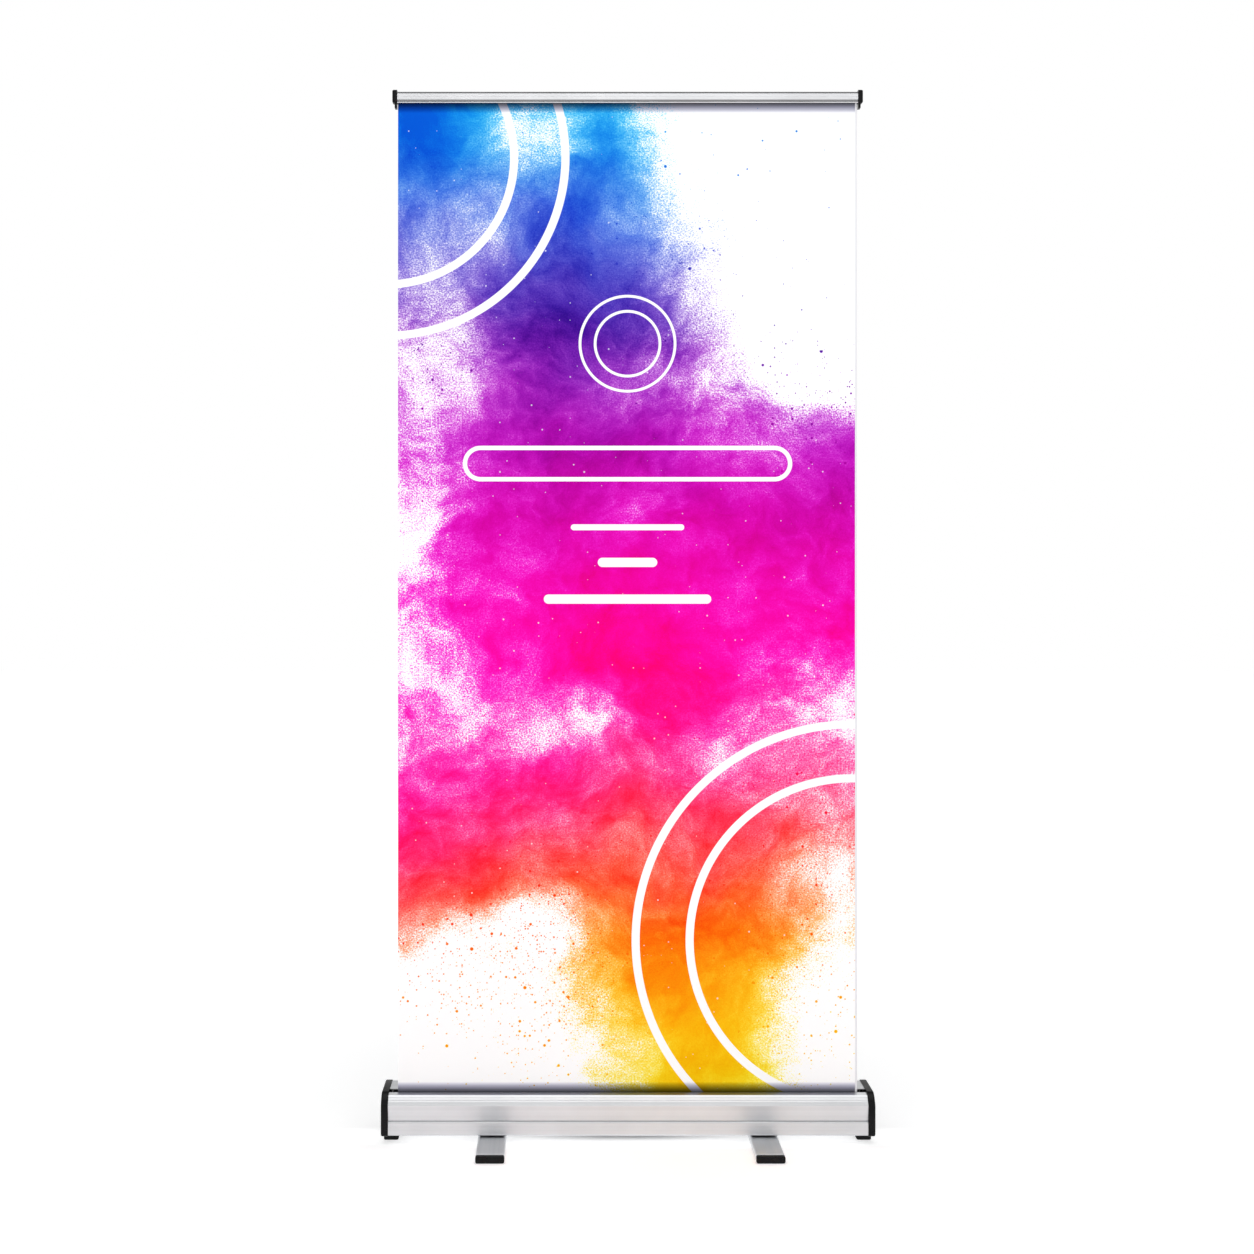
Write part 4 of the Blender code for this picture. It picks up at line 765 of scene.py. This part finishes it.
def housing_outline(fine):
    """The housing's outer outline from the front lip round to the rear lip; fine adds
    the lines drawn along the slope and the skirt and the ribs behind the slot."""
    lip, brow = (SLOT_FRONT, 88.8 * MM), (SLOT_FRONT - 11.0 * MM, 87.2 * MM)
    crease, groove = (front, CREASE_Z), (front + 3.9 * MM, GROOVE_Z)
    shoulder = (front + 0.46 * (brow[0] - front), CREASE_Z + 0.56 * (brow[1] - CREASE_Z))
    skirt = front + 0.8 * MM
    slope = bow(brow, shoulder, crease, 24)
    if fine:
        lines = [7, 13]
        slope[lines] = offset(slope, 0.25 * MM, closed=False)[lines]
    low = base + LOW_ROUND
    runs = [np.array([lip]), slope,
            np.array([groove, (groove[0] + 1.0 * MM, GROOVE_Z - 0.8 * MM)]),
            bow((skirt + 1.0 * MM, GROOVE_Z - 1.8 * MM), (skirt, GROOVE_Z - 2.2 * MM),
                (skirt, GROOVE_Z - 5.0 * MM), 6)]
    if fine:
        runs.append(notched((skirt, GROOVE_Z - 5.3 * MM), (skirt, low + 1.2 * MM),
                            (0.11, 0.42, 0.64), 0.9 * MM, 0.25 * MM))
    runs += [arc((skirt + LOW_ROUND, low), LOW_ROUND, 180, 270, 10),
             arc((rear - LOW_ROUND, low), LOW_ROUND, 270, 360, 10),
             arc((rear - HIGH_ROUND, top - HIGH_ROUND), HIGH_ROUND, 0, 90, 14)]
    start, end = (rear - HIGH_ROUND - 0.3 * MM, top), (SLOT_REAR + 2.0 * MM, top)
    if fine:
        run = start[0] - end[0]
        ribs = [(start[0] - SLOT_REAR - RIB_PITCH * i) / run for i in range(6, 0, -1)]
        runs.append(notched(start, end, ribs, 1.6 * MM, 0.5 * MM))
    else:
        runs.append(np.array([end]))
    runs.append(np.array([(SLOT_REAR + 0.4 * MM, top + 0.5 * MM),
                          (SLOT_REAR, top + 0.5 * MM)]))
    return np.vstack(runs)


inner = offset(housing_outline(fine=False), WALL, closed=False)
section = np.vstack((housing_outline(fine=True), inner[::-1]))
pole_low, pole_high = corners("pole_lower_tube")
pole_axis = middle("pole_lower_tube", Z)
pole_radius = (pole_high[1] - pole_low[1]) / 2
ends = [(housing_low[0], 0.0), (housing_high[0], 0.0)]
piece("cassette_profile", [carried(section, ends, X)], along_x, "stand", ["cassette_housing"],
      angle=20,
      holes=[bored(pole_radius + 2.1 * MM, top - 6 * MM, top + 6 * MM, pole_axis, Z)])

# The end caps' outline is round in front of the slot and straight over the groove.
cover = np.vstack((
    bow((SLOT_FRONT - 4.0 * MM, housing_high[2]), (front + 8.5 * MM, 88.0 * MM),
        (front, CREASE_Z), 16),
    arc((front + LOW_ROUND, base + LOW_ROUND), LOW_ROUND, 180, 270, 10),
    arc((rear - LOW_ROUND, base + LOW_ROUND), LOW_ROUND, 270, 360, 10),
    arc((rear - HIGH_ROUND, housing_high[2] - HIGH_ROUND), HIGH_ROUND, 0, 90, 14)))
COVER_OVER, COVER_ROUND = 1.0 * MM, 3.0 * MM
for word, side in (("left", -1), ("right", 1)):
    low, high = corners(f"end_cap_{word}")
    inside, outside = side * (housing_high[0] + 0.3 * MM), high[0] if side > 0 else low[0]
    edge = [(inside, -COVER_OVER)]
    edge += [(outside - side * COVER_ROUND * (1 - math.sin(a)),
              COVER_ROUND * (1 - math.cos(a)) - COVER_OVER)
             for a in np.radians(np.linspace(0, 90, 9))]
    seat = outside - side * 5.2 * MM
    holes = []
    for i in (1, 2, 3):
        node = f"end_cap_screw_{word}_{i}"
        holes.append(bored(3.7 * MM, seat, outside + side * MM, middle(node, X), X, 32))
        pan_screw(node, "stand", X, side, seat + side * 0.1 * MM, head=(3.4, 2.1),
                  recess=(4.0, 0.9, 1.3), point=((1.2, 2.0), (1.55, 3.0)))
    piece(f"end_cap_{word}_moulding", [carried(cover, edge, X)], black_abs, "stand",
          [f"end_cap_{word}"], holes=holes)
    ledge = box(-26 * MM, 26 * MM, low[2], base - 0.3 * MM, 0.7 * MM, steps=3)
    piece(f"end_cap_{word}_ledge",
          [carried(ledge, set_back(inside, side, (-2, 0), (11, 0)), X),
           bored(9.0 * MM, inside + side * 2 * MM, inside - side * 6 * MM, roll_centre, X,
                 inner=4.3 * MM)],
          black_abs, "stand")
    low, high = corners(f"floor_pad_{word}")
    piece(f"floor_pad_{word}_rubber",
          [carried(box(low[0], high[0], low[1], high[1], 4 * MM, steps=8),
                   bevelled(low[2], high[2], 0.8 * MM), Z)],
          rubber, "stand", [f"floor_pad_{word}"])

# ---------------------------------------------------------------- feet
FOOT_WALL, FOOT_ROUND = 2 * MM, 4 * MM
for word in ("left", "right"):
    low, high = corners(f"foot_{word}_bar")
    left, right, ground, roof = low[0], high[0], low[2], high[2]
    x = (left + right) / 2
    bend = roof - FOOT_ROUND
    channel = np.vstack((
        [(right - FOOT_WALL, ground), (right - 0.8 * MM, ground), (right, ground + 1.2 * MM)],
        arc((right - FOOT_ROUND, bend), FOOT_ROUND, 0, 90, 10),
        arc((left + FOOT_ROUND, bend), FOOT_ROUND, 90, 180, 10),
        [(left, ground + 1.2 * MM), (left + 0.8 * MM, ground), (left + FOOT_WALL, ground)],
        arc((left + FOOT_ROUND, bend), FOOT_ROUND - FOOT_WALL, 180, 90, 6),
        arc((right - FOOT_ROUND, bend), FOOT_ROUND - FOOT_WALL, 90, 0, 6)))
    piece(f"foot_{word}_channel", [carried(channel, bevelled(low[1], high[1], 0.5 * MM), Y)],
          along_y, f"foot_{word}", [f"foot_{word}_bar"],
          holes=[bored(4.5 * MM, bend, roof + 4 * MM, (x, 0.0), Z, 32)])
    for end, side in (("front", -1), ("rear", 1)):
        low, high = corners(f"foot_{word}_cap_{end}")
        tip = low[1] if side < 0 else high[1]
        plate = box(left, right, low[2], roof, 3.5 * MM, 4.0 * MM, 10)
        path = set_back(tip, side, (8, 0.3), (7.7, 0), (1.6, 0), (0.7, 0.25), (0.15, 0.8),
                        (0, 1.5), (0, 1.9), (0.5, 2.3))
        tongue = box(left + 2.3 * MM, right - 2.3 * MM, 1.5 * MM, roof - 2.3 * MM,
                     1 * MM, 2.4 * MM)
        stud_z = (low[2] + roof) / 2 - 0.6 * MM
        studs = [dome((x + dx * 13.5 * MM, stud_z), (2.2 * MM, 1.1 * MM), 0.9 * MM, Y, side,
                      tip - side * 0.8 * MM, sides=28, rings=6) for dx in (-1, 1)]
        piece(f"foot_{word}_cap_{end}_moulding",
              [carried(plate, path, Y),
               carried(tongue, set_back(tip, side, (7, 0), (20, 0)), Y),
               *studs],
              black_abs, f"foot_{word}", [f"foot_{word}_cap_{end}"])

# ---------------------------------------------------------------- clamp rail
hinge = (-16.8 * MM, back_high[2] - 3.2 * MM)
bead, bore, knuckle = 1.7 * MM, 2.05 * MM, 3.2 * MM
low = back_low[2]
face = BANNER_Y + thick + 0.35 * MM
web_low, web_high = hinge[1] - knuckle - WALL, hinge[1] - knuckle + 0.5 * MM
lean = math.degrees(math.acos((hinge[0] - face) / knuckle))
back_section = np.vstack((
    [(face, low)], arc(hinge, knuckle, 180 + lean, 205, 4), arc(hinge, bore, 205, 455, 32),
    arc(hinge, knuckle, 95, 0, 14),
    [(hinge[0] + knuckle, web_high), (back_high[1], web_high), (back_high[1], low),
     (back_high[1] - WALL, low), (back_high[1] - WALL, web_low), (face + WALL, web_low),
     (face + WALL, low)]))
rail_ends = [(back_low[0], 0.0), (back_high[0], 0.0)]
screw_holes = []
for word in ("left", "right"):
    node = f"rail_hanger_screw_{word}"
    screw_holes.append(bored(1.7 * MM, -14 * MM, -4 * MM, middle(node, Y), Y, 24))
    pan_screw(node, "rail", Y, 1, corners(node)[1][Y] - 1.8 * MM, head=(2.8, 1.8),
              recess=(3.4, 0.8, 1.1), point=((0.9, 1.0), (1.4, 2.0)))
piece("rail_back_profile", [carried(back_section, rail_ends, X)], along_x, "rail",
      ["rail_back"], holes=screw_holes)

jaw_front, jaw_top = jaw_low[1], jaw_high[2]
jaw_back, lip_back = jaw_front + 1.8 * MM, -21 * MM
rim, crown = jaw_front + 4.0 * MM, hinge[0] - knuckle - 1.2 * MM
neck = 0.7 * MM                 # half the height of the web that carries the bead
turn = math.degrees(math.asin(neck / bead))
lip_top = low + 2.0 * MM
jaw_section = np.vstack((
    arc(hinge, bead, 180 - turn, -180 + turn, 28),
    [(jaw_back, hinge[1] - neck), (jaw_back, lip_top), (lip_back, lip_top), (lip_back, low),
     (jaw_front + 0.8 * MM, low), (jaw_front, low + 0.8 * MM)],
    notched((jaw_front, low + 1.2 * MM), (jaw_front, low + 5.0 * MM), (0.5,),
            3.0 * MM, -1.3 * MM),
    notched((jaw_front, low + 6.0 * MM), (jaw_front, jaw_top - 3.6 * MM), (0.5,),
            0.8 * MM, -0.3 * MM),
    [(rim, jaw_top), (crown - 0.4 * MM, jaw_top), (crown, jaw_top - 0.6 * MM),
     (crown, hinge[1] + neck)]))
# The rail's face has painted shade along its top edge and over its lower groove.
rail_face = anodised("satin_anodised_aluminium_rail_face", X, edges=(low, jaw_top))
piece("rail_jaw_profile", [carried(jaw_section, rail_ends, X)], rail_face, "rail_jaw",
      ["rail_jaw"], angle=20)

for word, side in (("left", -1), ("right", 1)):
    cap_low, cap_high = corners(f"rail_cap_{word}")
    inside = side * (back_high[0] + 0.3 * MM)
    outside = cap_high[0] if side > 0 else cap_low[0]
    body = box(cap_low[1], cap_high[1], low - 0.2 * MM, cap_high[2], 2.5 * MM, steps=8)
    path = set_back(inside, side, (0, 0.3), (-0.3, 0))
    path += set_back(outside, side, (3, 0), (1.8, 0.2), (0.8, 0.8), (0.2, 1.5), (0, 2.2))
    tab = box(cap_low[1] + MM, cap_high[1] - MM, cap_low[2], low + 4 * MM, 2.5 * MM,
              steps=8)
    tab_path = set_back(inside, side, (0, 0.4), (-0.4, 0), (-3.8, 0), (-4.4, 0.3), (-4.6, 0.9))
    spigot = box(face + WALL + 0.3 * MM, back_high[1] - WALL - 0.3 * MM, low + MM,
                 web_low - 0.3 * MM, 0.5 * MM, steps=3)
    piece(f"rail_cap_{word}_moulding",
          [carried(body, path, X), carried(tab, tab_path, X),
           carried(spigot, set_back(inside, side, (-1, 0), (8, 0)), X)],
          black_abs, "rail", [f"rail_cap_{word}"])

# ---------------------------------------------------------------- hanger and pole
hanger_low, hanger_high = corners("rail_hanger")
cup_low, cup_high = hanger_low[2], hanger_high[2]
tip_low, tip_high = corners("pole_tip")
cup_bore = (tip_high[1] - tip_low[1]) / 2 + 0.3 * MM
cup_radius = cup_bore + 4 * MM
roof_low = tip_high[2] + 0.3 * MM
cup = turned([(0, roof_low), (cup_bore, roof_low), (cup_bore, cup_low + 0.6 * MM),
              (cup_bore + 0.6 * MM, cup_low), (cup_radius - 0.8 * MM, cup_low),
              (cup_radius, cup_low + 0.8 * MM), *rounded(cup_radius, cup_high, 2.5 * MM),
              (0, cup_high)], pole_axis, Z)
plate_front = hanger_low[1]
plate_high = hinge[1] - knuckle
arm = box(-7 * MM, 7 * MM, plate_high - 10 * MM, plate_high - 0.5 * MM, 1.5 * MM)
plate = box(-20 * MM, 20 * MM, low + 0.5 * MM, plate_high, 3 * MM)
cup_front = pole_axis[1] - cup_radius + 1.5 * MM
piece("rail_hanger_moulding",
      [cup, carried(arm, [(plate_front + MM, 0.0), (cup_front, 0.0)], Y)],
      black_abs, "rail", ["rail_hanger"])
piece("rail_hanger_plate",
      [carried(plate, set_back(plate_front, -1, (0, 0), (3.2, 0), (3.8, 0.3), (4, 0.8)), Y)],
      black_abs, "rail", holes=screw_holes)


def tube(name, node, body, wall=1.0 * MM, bevel=0.25 * MM):
    """A drawn tube with a small bevel inside and outside at both ends."""
    low, high = corners(node)
    start, end, r = low[2], high[2], (high[0] - low[0]) / 2
    profile = [(r - wall + bevel, start), (r - bevel, start), (r, start + bevel),
               (r, end - bevel), (r - bevel, end), (r - wall + bevel, end),
               (r - wall, end - bevel), (r - wall, start + bevel)]
    piece(name, [turned(profile, pole_axis, Z, 56)], along_z, body, [node])


def collar(name, node, body, tube_radius, throat):
    """A moulded collar: round shoulders, three grip grooves and a lip inwards over the
    end of its tube."""
    low, high = corners(node)
    start, end, r = low[2], high[2], (high[0] - low[0]) / 2
    ledge = end - 4 * MM
    grooves = []
    for share in (0.35, 0.5, 0.65):
        s = start + share * (end - start)
        grooves += [(r, s - 0.6 * MM), (r - 0.4 * MM, s - 0.25 * MM),
                    (r - 0.4 * MM, s + 0.25 * MM), (r, s + 0.6 * MM)]
    profile = [(tube_radius + 0.3 * MM, start), *rounded(r, start, MM, -1)[::-1], *grooves,
               *rounded(r, end, MM), (throat + 0.3 * MM, end), (throat, end - 0.3 * MM),
               (throat, ledge), (tube_radius + 0.3 * MM, ledge)]
    piece(name, [turned(profile, pole_axis, Z, 56)], black_abs, body, [node])


tube("pole_lower_drawn_tube", "pole_lower_tube", "stand")
tube("pole_middle_drawn_tube", "pole_middle_tube", "pole_middle")
tube("pole_top_drawn_tube", "pole_top_tube", "pole_top")
collar("pole_lower_collar_moulding", "pole_lower_collar", "stand", 8.0 * MM, 6.9 * MM)
collar("pole_middle_collar_moulding", "pole_middle_collar", "pole_middle", 6.5 * MM, 5.4 * MM)

r = (tip_high[0] - tip_low[0]) / 2
rest = 1909.8 * MM              # where the tip's rim sits on the top tube
piece("pole_tip_moulding",
      [turned([(0, tip_low[2]), (3.3 * MM, tip_low[2]), (3.7 * MM, tip_low[2] + MM),
               (3.7 * MM, rest), (r - 0.4 * MM, rest), (r, rest + 0.4 * MM),
               *rounded(r, tip_high[2], 2.5 * MM), (0, tip_high[2])], pole_axis, Z)],
      black_abs, "pole_top", ["pole_tip"])

low, high = corners("pole_grommet")
r, start, end = (high[0] - low[0]) / 2, low[2], high[2]
piece("pole_grommet_moulding",
      [turned([(pole_radius + 0.3 * MM, start), (pole_radius + 1.8 * MM, start),
               (pole_radius + 1.8 * MM, top + 0.3 * MM), (r, top + 0.3 * MM),
               (r, top + 0.9 * MM), *rounded(r, end, 1.2 * MM),
               (pole_radius + 0.8 * MM, end), (pole_radius + 0.3 * MM, end - 0.5 * MM)],
              pole_axis, Z)],
      black_abs, "stand", ["pole_grommet"])

# ---------------------------------------------------------------- pieces kept from the frame
KEPT = {
    black_abs: ["foot_pivot_washer_left", "foot_pivot_washer_right", "pole_socket",
                "roller_plug_left", "roller_plug_right", "spring_plug", "pole_middle_plug",
                "pole_top_plug"],
    along_x: ["roller_tube"],
    rubber: ["rail_grip_strip"],
    zinc: ["foot_pivot_bolt_left", "foot_pivot_bolt_right", "foot_pivot_nut_left",
           "foot_pivot_nut_right", "roller_idle_pin", "spring_arbor",
           "pole_socket_screw_left", "pole_socket_screw_right"],
    spring_steel: ["torsion_spring", "spring_anchor"],
}
for look, names in KEPT.items():
    for name in names:
        kept = frame["nodes"][name]
        kept.data.materials.clear()
        kept.data.materials.append(look)

# ---------------------------------------------------------------- floor
floor_mesh = bpy.data.meshes.new("floor")
REACH, FLOOR_Z = 14.0, -0.2 * MM
square = ((-1, -1), (1, -1), (1, 1), (-1, 1))
floor_mesh.from_pydata([(x * REACH, y * REACH, FLOOR_Z) for x, y in square], [], [(0, 1, 2, 3)])
floor = bpy.data.objects.new("floor", floor_mesh)
scene.collection.objects.link(floor)
floor_look, floor_tree, floor_shader = material("white_floor", "#fbfbfb", 0.9, specular=0.0)
floor_shader.inputs["Emission Color"].default_value = linear("#ffffff")
# The floor glows, which is painted light: most just beside the stand, hardly at all
# right under it, which paints a narrow shadow over the real one, and more towards the horizon.
spot = add(floor_tree, "TexCoord", out="Object")
beside = add(floor_tree, "VectorMath", [spot, (0.1, 1.0, 1.0)], operation="MULTIPLY")
beside = add(floor_tree, "VectorMath", [beside], out="Value", operation="LENGTH")
near = add(floor_tree, "ValToRGB", [add(floor_tree, "MapRange", [beside, 0.0, 0.1])],
           stops=[(0.06, 0.02), (0.24, 0.50), (0.45, 0.55), (0.70, 0.24)])
away = add(floor_tree, "VectorMath", [spot], out="Value", operation="LENGTH")
far = add(floor_tree, "MapRange", [away, 0.35, 3.0, 0.0, 0.26])
floor_tree.links.new(add(floor_tree, "Math", [near, far], operation="ADD"),
                     floor_shader.inputs["Emission Strength"])
floor_mesh.materials.append(floor_look)
floor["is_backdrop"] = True

low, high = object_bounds()
